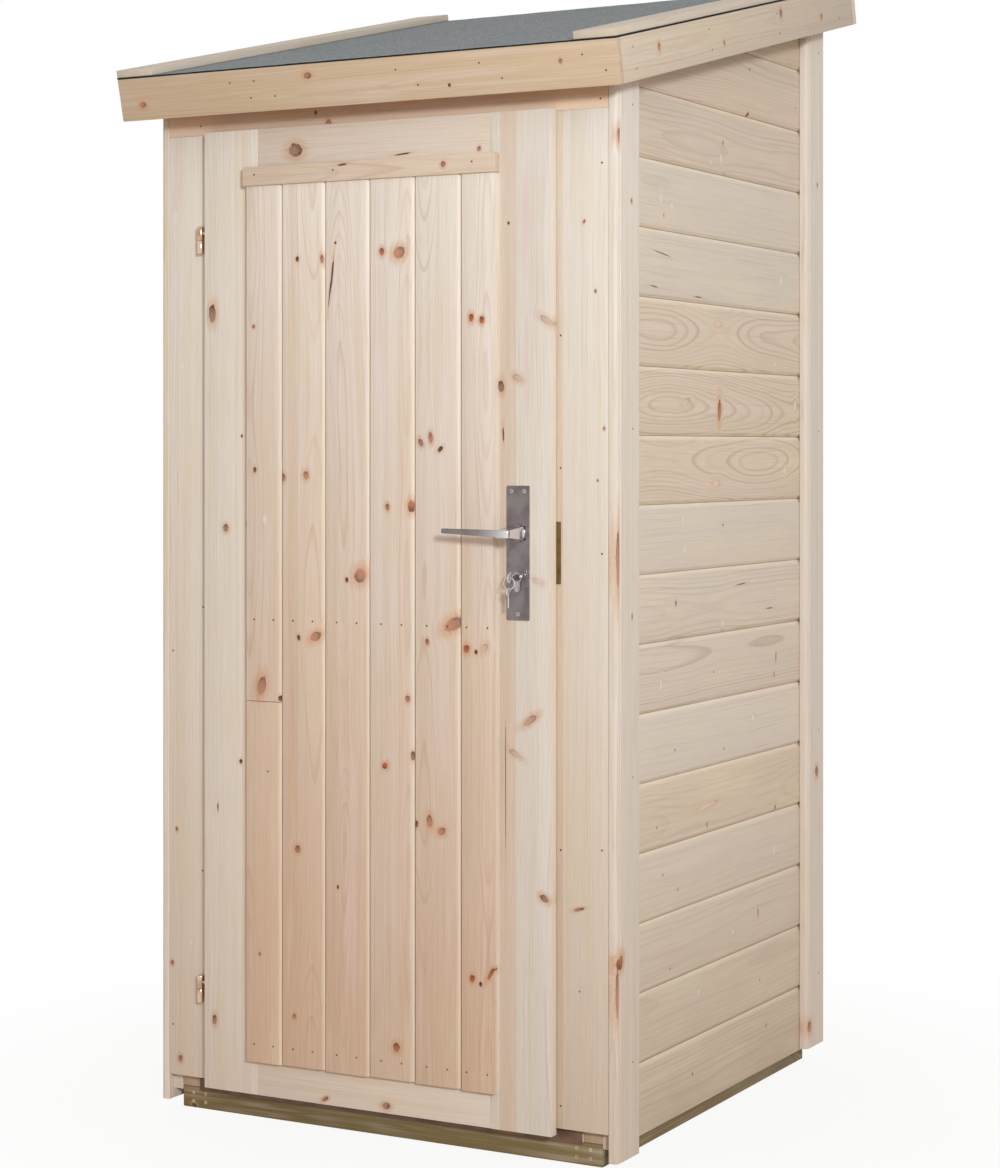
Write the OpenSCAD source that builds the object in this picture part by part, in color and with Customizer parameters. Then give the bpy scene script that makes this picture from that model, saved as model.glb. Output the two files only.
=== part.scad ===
// Tool shed: a narrow softwood garden shed with a pent roof that is low over
// the door and high at the back. The front faces -Y and the door opens
// outwards on two barrel hinges at its left edge. Millimetres, +Z up. The
// origin is on the ground, at the middle of the whole shed seen from above.

/* [Body] */
// Width over the corner trims
body_w = 912; // [840:1:1000]
// Depth over the corner trims
body_d = 908; // [840:1:1000]
// Thickness of the tongue and groove wall boards
board_t = 18; // [14:1:24]
// Height that each wall board covers
course_h = 117; // [100:1:130]
// Height of the lowest joint between wall boards, above the walls' foot
first_course_h = 120; // [80:1:130]
// Height of the side and back walls' foot above the ground
wall_lift = 31; // [26:1:36]
// Height of the front boards' foot above the ground
front_lift = 60; // [56:1:64]

/* [Bearers and floor] */
// Height of the bearers under the floor
bearer_h = 38; // [36:1:60]
// Width of the bearers
bearer_w = 58; // [40:1:80]
// Thickness of the floor boards
floor_t = 16; // [12:1:22]
// Thickness of the threshold's metal
threshold_t = 2; // [1.5:0.5:3]

/* [Posts] */
// Width of the corner posts, along the front
post_w = 36; // [30:1:50]
// Depth of the corner posts, along the sides
post_d = 40; // [30:1:60]

/* [Corner trims] */
// Width of the corner trims
trim_w = 82; // [70:1:95]
// Thickness of the corner trims
trim_t = 17; // [14:1:22]
// Height of the front trims' foot above the ground
front_trim_lift = 14; // [4:1:30]
// Height of the back trims' foot above the ground
back_trim_lift = 34; // [4:1:40]

/* [Door] */
// Width of the door leaf
door_w = 693; // [660:1:700]
// Height of the door leaf
door_h = 1692; // [1600:1:1694]
// Thickness of the door's stiles and rails
door_t = 18.5; // [17:0.5:21]
// Gap between the closed door and the boards behind its edges
door_gap = 1.5; // [1.5:0.5:2]
// Width of the door's stiles and height of its rails
stile_w = 114; // [90:1:120]
// Thickness of the panel boards on the door's face
panel_t = 12.5; // [10:0.5:14]
// Width that each panel board covers
panel_cover = 89.25; // [80:0.25:95]
// Height of the drip batten over the panel
batten_h = 33; // [25:1:40]
// Thickness of the drip batten
batten_t = 18; // [16:1:22]

/* [Lock] */
// Height of the lever's axis above the ground
lever_z = 1042; // [1000:1:1060]
// Distance from the lever's axis down to the lock cylinder's axis
lock_pitch = 73; // [70:1:92]
// Distance from the lock's centre line to the door's right edge
lock_inset = 61; // [55:1:65]
// Length of the lever from its neck's outer side to its tip
lever_len = 126; // [100:1:135]
// How far the lever's grip stands off its plate
lever_reach = 54; // [45:1:56]

/* [Roof] */
// Slope of the roof in degrees, rising to the back
roof_slope = 13.3; // [11:0.1:14]
// Width of the roof over its fascias
roof_w = 986; // [960:1:1060]
// Length of the roof along its slope
roof_len = 1085; // [1085:1:1110]
// Height of the fascia's top front edge above the ground
roof_front_z = 1838; // [1838:1:1860]
// Distance from the fascia's top front edge back to the front boards
roof_overhang = 81.5; // [78:0.5:95]
// Height of the fascia boards
fascia_h = 75; // [70:1:76]
// Thickness of the fascia boards
fascia_t = 16; // [14:1:18]
// Thickness of the roof boards
deck_t = 16; // [14:1:20]
// Thickness of the roofing felt
felt_t = 3; // [2:0.5:4]
// Width of the battens that hold the felt down
strip_w = 76; // [60:1:90]
// Thickness of the battens that hold the felt down
strip_t = 13; // [10:1:16]

/* [Hidden] */

// Colours
pale_wood = [0.87, 0.80, 0.70];
side_wood = [0.82, 0.75, 0.66];
pink_wood = [0.87, 0.74, 0.64];
tan_wood = [0.80, 0.69, 0.54];
green_wood = [0.52, 0.48, 0.33];
felt_grey = [0.42, 0.45, 0.48];
steel = [0.62, 0.60, 0.60];
brass = [0.62, 0.45, 0.28];
dark_brass = [0.38, 0.29, 0.17];
threshold_grey = [0.48, 0.42, 0.44];

// Roof: the middle of its shadow on the ground is the origin
roof_rise = roof_len * sin(roof_slope);
roof_run = roof_len * cos(roof_slope);
front_lean = (felt_t + strip_t) * sin(roof_slope);
back_lean = fascia_h * sin(roof_slope);
roof_front_y = -(roof_run + back_lean - front_lean) / 2;

// Body faces
face_y = roof_front_y + roof_overhang;
back_y = face_y + body_d;
wall_x = body_w / 2 - trim_t;
frame_x = wall_x - board_t;
frame_y0 = face_y + board_t;
frame_y1 = back_y - board_t;
frame_d = frame_y1 - frame_y0;
tall = roof_front_z + roof_rise;

// Joints between the wall boards: V grooves, wider on the lower board's side
groove_above = 6;
groove_below = 9;
groove_deep = 4.5;

// Corner trims: rounded front edge with a fine quirk behind it
trim_round = 8;
trim_quirk = 3;

// Bearers and floor
floor_z = bearer_h;
floor_top = floor_z + floor_t;

// Front: the boards beside the doorway reach in under the door's edges
door_left = -348;
door_right = door_left + door_w;
door_z0 = 50;
door_top = door_z0 + door_h;
door_back_y = face_y - door_gap;
door_face_y = door_back_y - door_t;
lap = 20;
opening_left = door_left + lap;
opening_right = door_right - lap;
header_z = 1740;
head_rail_h = 70;

// Door panel
panel_left = -250;
panel_right = 244;
panel_mid = 1;
panel_z0 = 111;
batten_z0 = 1641;
batten_left = -255;
batten_right = 248;
panel_groove_w = 10;
panel_groove_deep = 4.5;
panel_face_y = door_face_y - panel_t;

// Ledges on the door's back: they stay clear of the jambs as the door turns
ledge_t = 18;
ledge_h = 95;
ledge_left = -311;
ledge_right = 222;

// Lock
lock_x = door_right - lock_inset;
cylinder_z = lever_z - lock_pitch;
plate_w = 43;
plate_h = 223;
plate_t = 2.5;
plate_top = lever_z + 79;
plate_y = door_face_y - plate_t;
spindle_r = 8;
spindle_gap = 0.06;
spindle_hole_r = 11;
case_w = 66;
case_h = 150;
case_t = 18;
case_back_y = door_back_y + case_t;
cylinder_r = 8.5;
cylinder_lobe_w = 10;
cylinder_h = 33;
cylinder_proud = 4;
plug_r = 6.5;
plug_gap = 0.05;

// Lever: a short rose, a neck that tapers in height, and a grip that thins and
// rises to its tip
rose_r = 14.5;
rose_t = 4;
neck_w = 24;
neck_tip_h = 13;
grip_t = 8;
grip_tip_h = 8;
grip_rise = 4;

// Keys
key_t = 2.2;
key_bow_r = 10;
key_hole_r = 3;
key_out = 22;
ring_r = 10;
ring_wire_r = 0.9;
spare_bow_r = 8;
spare_len = 26;

// Hinges: each is a frame half below and a door half above, on one pin
hinge_x = -362;
hinge_y = face_y - 11;
hinge_r = 6.5;
hinge_half_h = 24;
hinge_mid_z = [222, 1552];
hinge_pin_r = 3;
hinge_pin_gap = 0.06;
hinge_pin_h = 18;
hinge_arm_r = 3.5;
hinge_float = 0.4;

// Strike plate: an angle round the edge of the board beside the doorway
strike_end_x = door_right + 7.5;
strike_h = 103;
strike_t = 1;
strike_z = 1010;

// ---- Shared shapes ----

// A box between two corners
module block(low, high) {
    translate(low) cube(high - low);
}

// Children drawn along the roof: X across, Y up the slope, Z square to it
module on_roof() {
    translate([0, roof_front_y, roof_front_z]) rotate([roof_slope, 0, 0])
        children();
}

// Children with everything above the underside of the roof boards cut away
module under_roof() {
    difference() {
        children();
        on_roof() block([-roof_w, -roof_len, -deck_t], [roof_w, 2 * roof_len, tall]);
    }
}

// One V groove at height z in the outer face of a board wall, as outline points
function v_groove(z) = [[0, z - groove_below], [groove_deep, z], [0, z + groove_above]];

// Heights of the joints between the wall boards
joint_n = floor((tall - wall_lift) / course_h);
joint_z = [for (k = [0 : joint_n - 1]) wall_lift + first_course_h + k * course_h];

// Outline of a board wall seen from its end: X is depth in from the outer face
module wall_outline() {
    polygon(concat(
        [[board_t, wall_lift], [0, wall_lift]],
        [for (z = joint_z) each v_groove(z)],
        [[0, tall + course_h], [board_t, tall + course_h]]));
}

// A side wall whose outer face is at X = 0 and which runs back along +Y
module side_wall() {
    under_roof() translate([0, frame_y1, 0]) rotate([90, 0, 0])
        linear_extrude(frame_d) wall_outline();
}

// A corner trim on the right side wall, from y back, its rounded edge in front
module trim(y, foot) {
    under_roof() translate([wall_x, y, foot]) linear_extrude(tall) difference() {
        square([trim_t, trim_w]);
        translate([trim_t - trim_round, 0]) difference() {
            square([trim_round + 1, trim_round]);
            translate([0, trim_round]) circle(trim_round, $fn = 48);
        }
        translate([trim_t, trim_round + trim_quirk]) rotate(45)
            square(trim_quirk, center = true);
    }
}

module post(x, y) {
    under_roof() block([x, y, bearer_h], [x + post_w, y + post_d, tall + course_h]);
}

// Outline of the lock cylinder and of the holes it goes through
module cylinder_outline(gap) {
    circle(cylinder_r + gap, $fn = 48);
    translate([-cylinder_lobe_w / 2 - gap, -(cylinder_h - cylinder_r) - gap])
        square([cylinder_lobe_w + 2 * gap, cylinder_h - cylinder_r + gap]);
}

// Children extruded backwards along +Y from y0 to y1, at the lock's centre line
module through_door(z, y0, y1) {
    translate([lock_x, y1, z]) rotate([90, 0, 0]) linear_extrude(y1 - y0)
        children();
}

// A flat key bow in the Y-Z plane, with its hole, centred on the origin
module key_bow(r, hole_shift) {
    rotate([0, 90, 0]) difference() {
        cylinder(h = key_t, r = r, center = true, $fn = 40);
        translate(hole_shift) cylinder(h = 2 * key_t, r = key_hole_r, center = true, $fn = 32);
    }
}

// ---- Base ----

module bearer_front() {
    color(green_wood)
        block([-frame_x, frame_y0, 0], [frame_x, frame_y0 + bearer_w, bearer_h]);
}

module bearer_back() {
    color(green_wood)
        block([-frame_x, frame_y1 - bearer_w, 0], [frame_x, frame_y1, bearer_h]);
}

module bearer_left() {
    color(green_wood)
        block([-frame_x, frame_y0 + bearer_w, 0], [-frame_x + bearer_w, frame_y1 - bearer_w, bearer_h]);
}

module bearer_right() {
    mirror([1, 0, 0]) bearer_left();
}

module floor() {
    color(pale_wood) difference() {
        block([-frame_x, frame_y0, floor_z], [frame_x, frame_y1, floor_top]);
        for (x = [-frame_x - 1, frame_x - post_w], y = [frame_y0 - 1, frame_y1 - post_d])
            translate([x, y, floor_z - 1]) cube([post_w + 1, post_d + 1, floor_t + 2]);
    }
}

// A metal angle: one leg down the front of the bearer, one back over the floor
module threshold() {
    leg = 46;
    end_x = frame_x - post_w - 2;
    lip_z = floor_top - 20;
    color(threshold_grey) {
        block([-end_x, frame_y0 - threshold_t, lip_z], [end_x, frame_y0, floor_top + threshold_t]);
        block([-end_x, frame_y0, floor_top], [end_x, frame_y0 + leg, floor_top + threshold_t]);
    }
}

// ---- Frame ----

module post_front_left() { color(pink_wood) post(-frame_x, frame_y0); }
module post_front_right() { color(pink_wood) post(frame_x - post_w, frame_y0); }
module post_back_left() { color(pale_wood) post(-frame_x, frame_y1 - post_d); }
module post_back_right() { color(pale_wood) post(frame_x - post_w, frame_y1 - post_d); }

// The rail over the doorway, between the front posts: the door closes on it
module head_rail() {
    color(pale_wood)
        block([-frame_x + post_w, frame_y0, header_z - head_rail_h + lap],
              [frame_x - post_w, frame_y0 + post_d, header_z + lap]);
}

// Sloping rails inside the side walls, under the roof boards
module rafters() {
    rafter_t = 28;
    rafter_h = 60;
    color(pale_wood) intersection() {
        on_roof() for (side = [-1, 1])
            translate([side * (frame_x - rafter_t / 2) - rafter_t / 2, 0, -deck_t - rafter_h])
                cube([rafter_t, roof_len, rafter_h]);
        block([-frame_x, frame_y0 + post_d, 0], [frame_x, frame_y1 - post_d, 2 * tall]);
    }
}

// ---- Walls ----

module wall_left() {
    color(side_wood) translate([-wall_x, 0, 0]) side_wall();
}

module wall_right() {
    color(side_wood) mirror([1, 0, 0]) translate([-wall_x, 0, 0]) side_wall();
}

module wall_back() {
    color(side_wood) under_roof() translate([wall_x, back_y, 0]) rotate([90, 0, -90])
        linear_extrude(2 * wall_x) wall_outline();
}

module front_board_left() {
    color(pale_wood)
        block([-wall_x, face_y, front_lift], [opening_left, frame_y0, header_z]);
}

module front_board_right() {
    color(pale_wood)
        block([opening_right, face_y, front_lift], [wall_x, frame_y0, header_z]);
}

module header_board() {
    color(pale_wood) under_roof()
        block([-wall_x, face_y, header_z], [wall_x, frame_y0, tall]);
}

// ---- Corner trims ----

module corner_trim_front_right() {
    color(pale_wood) trim(face_y, front_trim_lift);
}

module corner_trim_front_left() {
    mirror([1, 0, 0]) corner_trim_front_right();
}

module corner_trim_back_right() {
    color(pale_wood) trim(back_y - trim_w, back_trim_lift);
}

module corner_trim_back_left() {
    mirror([1, 0, 0]) corner_trim_back_right();
}

// ---- Roof ----

module roof_deck() {
    color(pale_wood) on_roof()
        block([-roof_w / 2 + fascia_t, fascia_t, -deck_t], [roof_w / 2 - fascia_t, roof_len - fascia_t, 0]);
}

module roof_felt() {
    color(felt_grey) on_roof()
        block([-roof_w / 2, 0, 0], [roof_w / 2, roof_len, felt_t]);
}

module fascia_front() {
    color(tan_wood) on_roof()
        block([-roof_w / 2, 0, -fascia_h], [roof_w / 2, fascia_t, 0]);
}

module fascia_back() {
    color(tan_wood) on_roof()
        block([-roof_w / 2, roof_len - fascia_t, -fascia_h], [roof_w / 2, roof_len, 0]);
}

module fascia_right() {
    color(side_wood) on_roof()
        block([roof_w / 2 - fascia_t, fascia_t, -fascia_h], [roof_w / 2, roof_len - fascia_t, 0]);
}

module fascia_left() {
    mirror([1, 0, 0]) fascia_right();
}

module roof_strip_right() {
    color(pale_wood) on_roof()
        block([roof_w / 2 - strip_w, 0, felt_t], [roof_w / 2, roof_len, felt_t + strip_t]);
}

module roof_strip_left() {
    mirror([1, 0, 0]) roof_strip_right();
}

// ---- Hardware on the frame ----

module strike_plate() {
    z0 = strike_z - strike_h / 2;
    z1 = strike_z + strike_h / 2;
    color(dark_brass) {
        block([opening_right - strike_t, face_y - strike_t, z0], [strike_end_x, face_y, z1]);
        block([opening_right - strike_t, face_y, z0], [opening_right, frame_y0, z1]);
    }
}

// Lower halves: barrel, pin and the arm that is screwed into the frame
module hinge_frame_halves() {
    color(brass) for (z = hinge_mid_z) translate([hinge_x, hinge_y, z]) {
        translate([0, 0, -hinge_half_h]) cylinder(h = hinge_half_h, r = hinge_r, $fn = 48);
        cylinder(h = hinge_pin_h, r = hinge_pin_r, $fn = 32);
        translate([0, 0, -hinge_half_h / 2]) rotate([-90, 0, 0])
            cylinder(h = face_y - hinge_y, r = hinge_arm_r, $fn = 32);
    }
}

// ---- Door ----

module door_stile_left() {
    color(pale_wood)
        block([door_left, door_face_y, door_z0], [door_left + stile_w, door_back_y, door_top]);
}

module door_stile_right() {
    color(pale_wood) difference() {
        block([door_right - stile_w, door_face_y, door_z0], [door_right, door_back_y, door_top]);
        through_door(lever_z, door_face_y - 1, door_back_y + 1) circle(spindle_hole_r, $fn = 48);
        through_door(cylinder_z, door_face_y - 1, door_back_y + 1) cylinder_outline(1);
    }
}

module door_rail_top() {
    color(tan_wood)
        block([door_left + stile_w, door_face_y, door_top - stile_w],
              [door_right - stile_w, door_back_y, door_top]);
}

module door_rail_bottom() {
    color(pale_wood)
        block([door_left + stile_w, door_face_y, door_z0],
              [door_right - stile_w, door_back_y, door_z0 + stile_w]);
}

// Upright boards with V grooves between them, on the face of the door frame
module door_panel() {
    half = panel_groove_w / 2;
    color(pink_wood) translate([0, 0, panel_z0]) linear_extrude(batten_z0 - panel_z0)
        translate([0, panel_face_y]) polygon(concat(
            [[panel_left, panel_t], [panel_left, 0]],
            [for (k = [-2 : 2]) let (x = panel_mid + k * panel_cover)
                each [[x - half, 0], [x, panel_groove_deep], [x + half, 0]]],
            [[panel_right, 0], [panel_right, panel_t]]));
}

module drip_batten() {
    color(tan_wood)
        block([batten_left, door_face_y - batten_t, batten_z0],
              [batten_right, door_face_y, batten_z0 + batten_h]);
}

// Three level ledges that hold the door together at the back
module door_ledges() {
    ledge_z = [door_z0 + 30, lever_z - 205, door_top - ledge_h - 90];
    color(pale_wood) for (z = ledge_z)
        block([ledge_left, door_back_y, z], [ledge_right, door_back_y + ledge_t, z + ledge_h]);
}

// ---- Lock ----

module lock_case() {
    case_z0 = cylinder_z - 40;
    color(steel) difference() {
        block([lock_x - case_w / 2, door_back_y, case_z0], [lock_x + case_w / 2 - 2, case_back_y, case_z0 + case_h]);
        through_door(lever_z, door_back_y - 1, case_back_y + 1) circle(spindle_hole_r, $fn = 48);
        through_door(cylinder_z, door_back_y - 1, case_back_y + 1) cylinder_outline(1);
    }
}

// One long plate on the door's face and one on the lock case
module lock_plates() {
    color(steel) for (y = [plate_y, case_back_y]) difference() {
        block([lock_x - plate_w / 2, y, plate_top - plate_h], [lock_x + plate_w / 2, y + plate_t, plate_top]);
        through_door(lever_z, y - 1, y + plate_t + 1) circle(spindle_r + spindle_gap, $fn = 48);
        through_door(cylinder_z, y - 1, y + plate_t + 1) cylinder_outline(0.2);
    }
}

module lock_cylinder() {
    y0 = plate_y - cylinder_proud;
    y1 = case_back_y + plate_t + cylinder_proud;
    color(steel) difference() {
        through_door(cylinder_z, y0, y1) cylinder_outline(0);
        through_door(cylinder_z, y0 - 1, y0 + 20) circle(plug_r + plug_gap, $fn = 40);
    }
}

// Upper halves: barrel with the pin's bore, and the arm into the door's edge
module hinge_door_halves() {
    color(brass) for (z = hinge_mid_z) translate([hinge_x, hinge_y, z + hinge_float]) difference() {
        union() {
            cylinder(h = hinge_half_h, r = hinge_r, $fn = 48);
            translate([0, 0, hinge_half_h / 2]) rotate([0, 90, 0])
                cylinder(h = door_left - hinge_x, r = hinge_arm_r, $fn = 32);
        }
        translate([0, 0, -1]) cylinder(h = hinge_pin_h + 2, r = hinge_pin_r + hinge_pin_gap, $fn = 32);
    }
}

// ---- Lever ----

// A handle whose rose stands at y = 0 and whose grip is out along -Y
module handle() {
    grip_y = -lever_reach;
    rotate([90, 0, 0]) cylinder(h = rose_t, r = rose_r, $fn = 48);
    hull() {
        translate([-neck_w / 2, -rose_t - 1, -neck_w / 2]) cube([neck_w, 1, neck_w]);
        translate([-neck_w / 2, grip_y - grip_t / 2, -neck_tip_h / 2]) cube([neck_w, grip_t / 2, neck_tip_h]);
    }
    hull() {
        translate([-neck_w / 2, grip_y - grip_t / 2, -neck_tip_h / 2]) cube([neck_w, grip_t, neck_tip_h]);
        translate([neck_w / 2 - lever_len, grip_y - grip_t / 2, grip_rise - grip_tip_h / 2])
            cube([1, grip_t, grip_tip_h]);
    }
}

// Both handles on one spindle
module lever_handles() {
    inner_y = case_back_y + plate_t;
    color(steel) translate([lock_x, 0, lever_z]) {
        translate([0, plate_y, 0]) handle();
        translate([0, inner_y, 0]) mirror([0, 1, 0]) handle();
        translate([0, inner_y, 0]) rotate([90, 0, 0])
            cylinder(h = inner_y - plate_y, r = spindle_r, $fn = 48);
    }
}

// ---- Keys ----

// The plug with a key in it, and a ring with a spare key through the bow
module keys() {
    face = plate_y - cylinder_proud;
    bow_y = face - key_out;
    hole_y = bow_y - 5;
    ring_z = cylinder_z + key_hole_r - 1.5 - ring_r;
    spare_z = ring_z - ring_r - spare_bow_r + 3.6;
    color(steel) {
        through_door(cylinder_z, face, face + 19) circle(plug_r, $fn = 40);
        translate([lock_x, bow_y, cylinder_z]) key_bow(key_bow_r, [0, -5, 0]);
        block([lock_x - key_t / 2, bow_y + key_bow_r - 2, cylinder_z - 4],
              [lock_x + key_t / 2, face, cylinder_z + 4]);
        translate([lock_x, hole_y, ring_z]) rotate([90, 0, 0])
            rotate_extrude($fn = 48) translate([ring_r, 0]) circle(ring_wire_r, $fn = 20);
        translate([lock_x, hole_y, spare_z]) {
            key_bow(spare_bow_r, [-(spare_bow_r - 3.6), 0, 0]);
            block([-key_t / 2, -2.5, -spare_len], [key_t / 2, 2.5, -spare_bow_r + 1]);
        }
    }
}

bearer_front();
bearer_back();
bearer_left();
bearer_right();
floor();
threshold();
post_front_left();
post_front_right();
post_back_left();
post_back_right();
head_rail();
rafters();
wall_left();
wall_right();
wall_back();
front_board_left();
front_board_right();
header_board();
corner_trim_front_left();
corner_trim_front_right();
corner_trim_back_left();
corner_trim_back_right();
roof_deck();
roof_felt();
fascia_front();
fascia_back();
fascia_left();
fascia_right();
roof_strip_left();
roof_strip_right();
strike_plate();
hinge_frame_halves();
door_stile_left();
door_stile_right();
door_rail_top();
door_rail_bottom();
door_panel();
drip_batten();
door_ledges();
lock_case();
lock_plates();
lock_cylinder();
hinge_door_halves();
lever_handles();
keys();
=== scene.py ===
import math
import random
from collections import namedtuple

import bmesh
import bpy
from mathutils import Matrix, Vector


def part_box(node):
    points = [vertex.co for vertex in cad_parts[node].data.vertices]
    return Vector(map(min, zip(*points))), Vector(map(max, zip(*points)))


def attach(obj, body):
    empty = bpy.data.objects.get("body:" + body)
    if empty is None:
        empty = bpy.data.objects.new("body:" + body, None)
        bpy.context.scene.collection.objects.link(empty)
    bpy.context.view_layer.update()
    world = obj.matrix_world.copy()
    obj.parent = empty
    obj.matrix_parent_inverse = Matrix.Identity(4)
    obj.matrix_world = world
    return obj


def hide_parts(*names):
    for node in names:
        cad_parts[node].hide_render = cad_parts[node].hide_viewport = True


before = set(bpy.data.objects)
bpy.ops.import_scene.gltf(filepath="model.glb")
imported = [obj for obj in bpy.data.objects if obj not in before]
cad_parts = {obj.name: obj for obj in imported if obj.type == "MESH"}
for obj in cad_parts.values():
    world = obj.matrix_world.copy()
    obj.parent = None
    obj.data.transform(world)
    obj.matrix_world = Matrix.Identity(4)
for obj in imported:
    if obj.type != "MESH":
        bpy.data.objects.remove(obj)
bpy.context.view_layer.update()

# The tool shed's boards, fittings and finishes, each over its own solid. The mesh
# code works in millimetres, and a finished piece is brought to metres.
SCENE = bpy.context.scene
MM = 0.001
X = Vector((1, 0, 0))
Y = Vector((0, 1, 0))
Z = Vector((0, 0, 1))


# ---- Finishes ----

def paint(red, green, blue):
    """A shader colour from the way it looks in daylight, 0 to 255."""
    return tuple(((c / 255 + 0.055) / 1.055) ** 2.4 for c in (red, green, blue)) + (1.0,)


class Value:
    """A number behind a shader socket, so that sums on it are written plainly."""

    def __init__(self, finish, socket):
        self.finish = finish
        self.socket = socket

    def __add__(self, other):
        return self.finish.calc("ADD", self, other)

    def __sub__(self, other):
        return self.finish.calc("SUBTRACT", self, other)

    def __rsub__(self, other):
        return self.finish.calc("SUBTRACT", other, self)

    def __mul__(self, other):
        return self.finish.calc("MULTIPLY", self, other)

    def __truediv__(self, other):
        return self.finish.calc("DIVIDE", self, other)

    __radd__ = __add__
    __rmul__ = __mul__


class Nodes:
    """The nodes of a material or of the world."""

    def __init__(self, owner):
        owner.use_nodes = True
        self.owner = owner
        self.tree = owner.node_tree

    def node(self, kind, settings, inputs, output=0):
        made = self.tree.nodes.new("ShaderNode" + kind)
        for setting, choice in settings.items():
            setattr(made, setting, choice)
        for socket, value in inputs.items():
            if isinstance(value, Value):
                self.tree.links.new(value.socket, made.inputs[socket])
            else:
                made.inputs[socket].default_value = value
        return Value(self, made.outputs[output])

    def calc(self, operation, *values):
        return self.node("Math", {"operation": operation}, dict(enumerate(values)))

    def split(self, vector):
        first = self.node("SeparateXYZ", {}, {0: vector})
        return [Value(self, socket) for socket in first.socket.node.outputs]

    def join(self, x, y, z):
        return self.node("CombineXYZ", {}, {0: x, 1: y, 2: z})

    def dot(self, a, b):
        return self.node("VectorMath", {"operation": "DOT_PRODUCT"}, {0: a, 1: b}, 1)

    def scale(self, vector, amount):
        return self.node("VectorMath", {"operation": "SCALE"}, {0: vector, 3: amount})

    def attribute(self, name, output=1):
        return self.node("Attribute", {"attribute_name": name}, {}, output)

    def place(self):
        return self.node("TexCoord", {}, {}, 3)

    def stretched(self, x, y, z):
        """The place on the piece, stretched along an axis where the number is small."""
        return self.node("Mapping", {}, {0: self.place(), 3: (x, y, z)})

    def noise(self, vector, scale, detail=2.0, roughness=0.5):
        return self.node("TexNoise", {}, {0: vector, 2: scale, 3: detail, 4: roughness})

    def ramp(self, value, low, high, start=0.0, end=1.0):
        """From start, below low, to end, above high, with a soft step between."""
        settings = {"interpolation_type": "SMOOTHSTEP"}
        return self.node("MapRange", settings, {0: value, 1: low, 2: high, 3: start, 4: end})

    def mix(self, factor, a, b):
        """A blend of two colours, each a value or the way it looks in daylight."""
        a, b = (tint if isinstance(tint, Value) else paint(*tint) for tint in (a, b))
        return self.node("Mix", {"data_type": "RGBA"}, {0: factor, 6: a, 7: b}, 2)

    def rays(self):
        """1 for the rays that the camera sees by, and metal and glass."""
        path = self.node("LightPath", {}, {}).socket.node
        kinds = ("Camera", "Glossy", "Transmission")
        seen, *clear = (Value(self, path.outputs[f"Is {kind} Ray"]) for kind in kinds)
        return self.calc("MAXIMUM", seen, self.calc("MAXIMUM", *clear))


class Finish(Nodes):
    """A material with one shader, and the nodes that vary it over a surface."""

    def __init__(self, name, constants):
        super().__init__(bpy.data.materials.new(name))
        self.shader = self.tree.nodes["Principled BSDF"]
        for socket, number in constants.items():
            self.shader.inputs[socket].default_value = number

    def feed(self, socket, value):
        self.tree.links.new(value.socket, self.shader.inputs[socket])

    def bump(self, height, distance, strength):
        inputs = {"Height": height, "Distance": distance, "Strength": strength}
        self.feed("Normal", self.node("Bump", {}, inputs))


# The most knots that a board of each finish can hold
KNOTS = {
    "wall_boards": 4, "front_boards": 6, "trim_wood": 6, "frame_timber": 2, "floor_boards": 2,
    "fascia_wood": 5, "door_frame_wood": 10, "door_panel_wood": 8, "treated_timber": 2,
}
# Further from a knot, in its own radii squared, than any place is
FAR = 900.0


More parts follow.
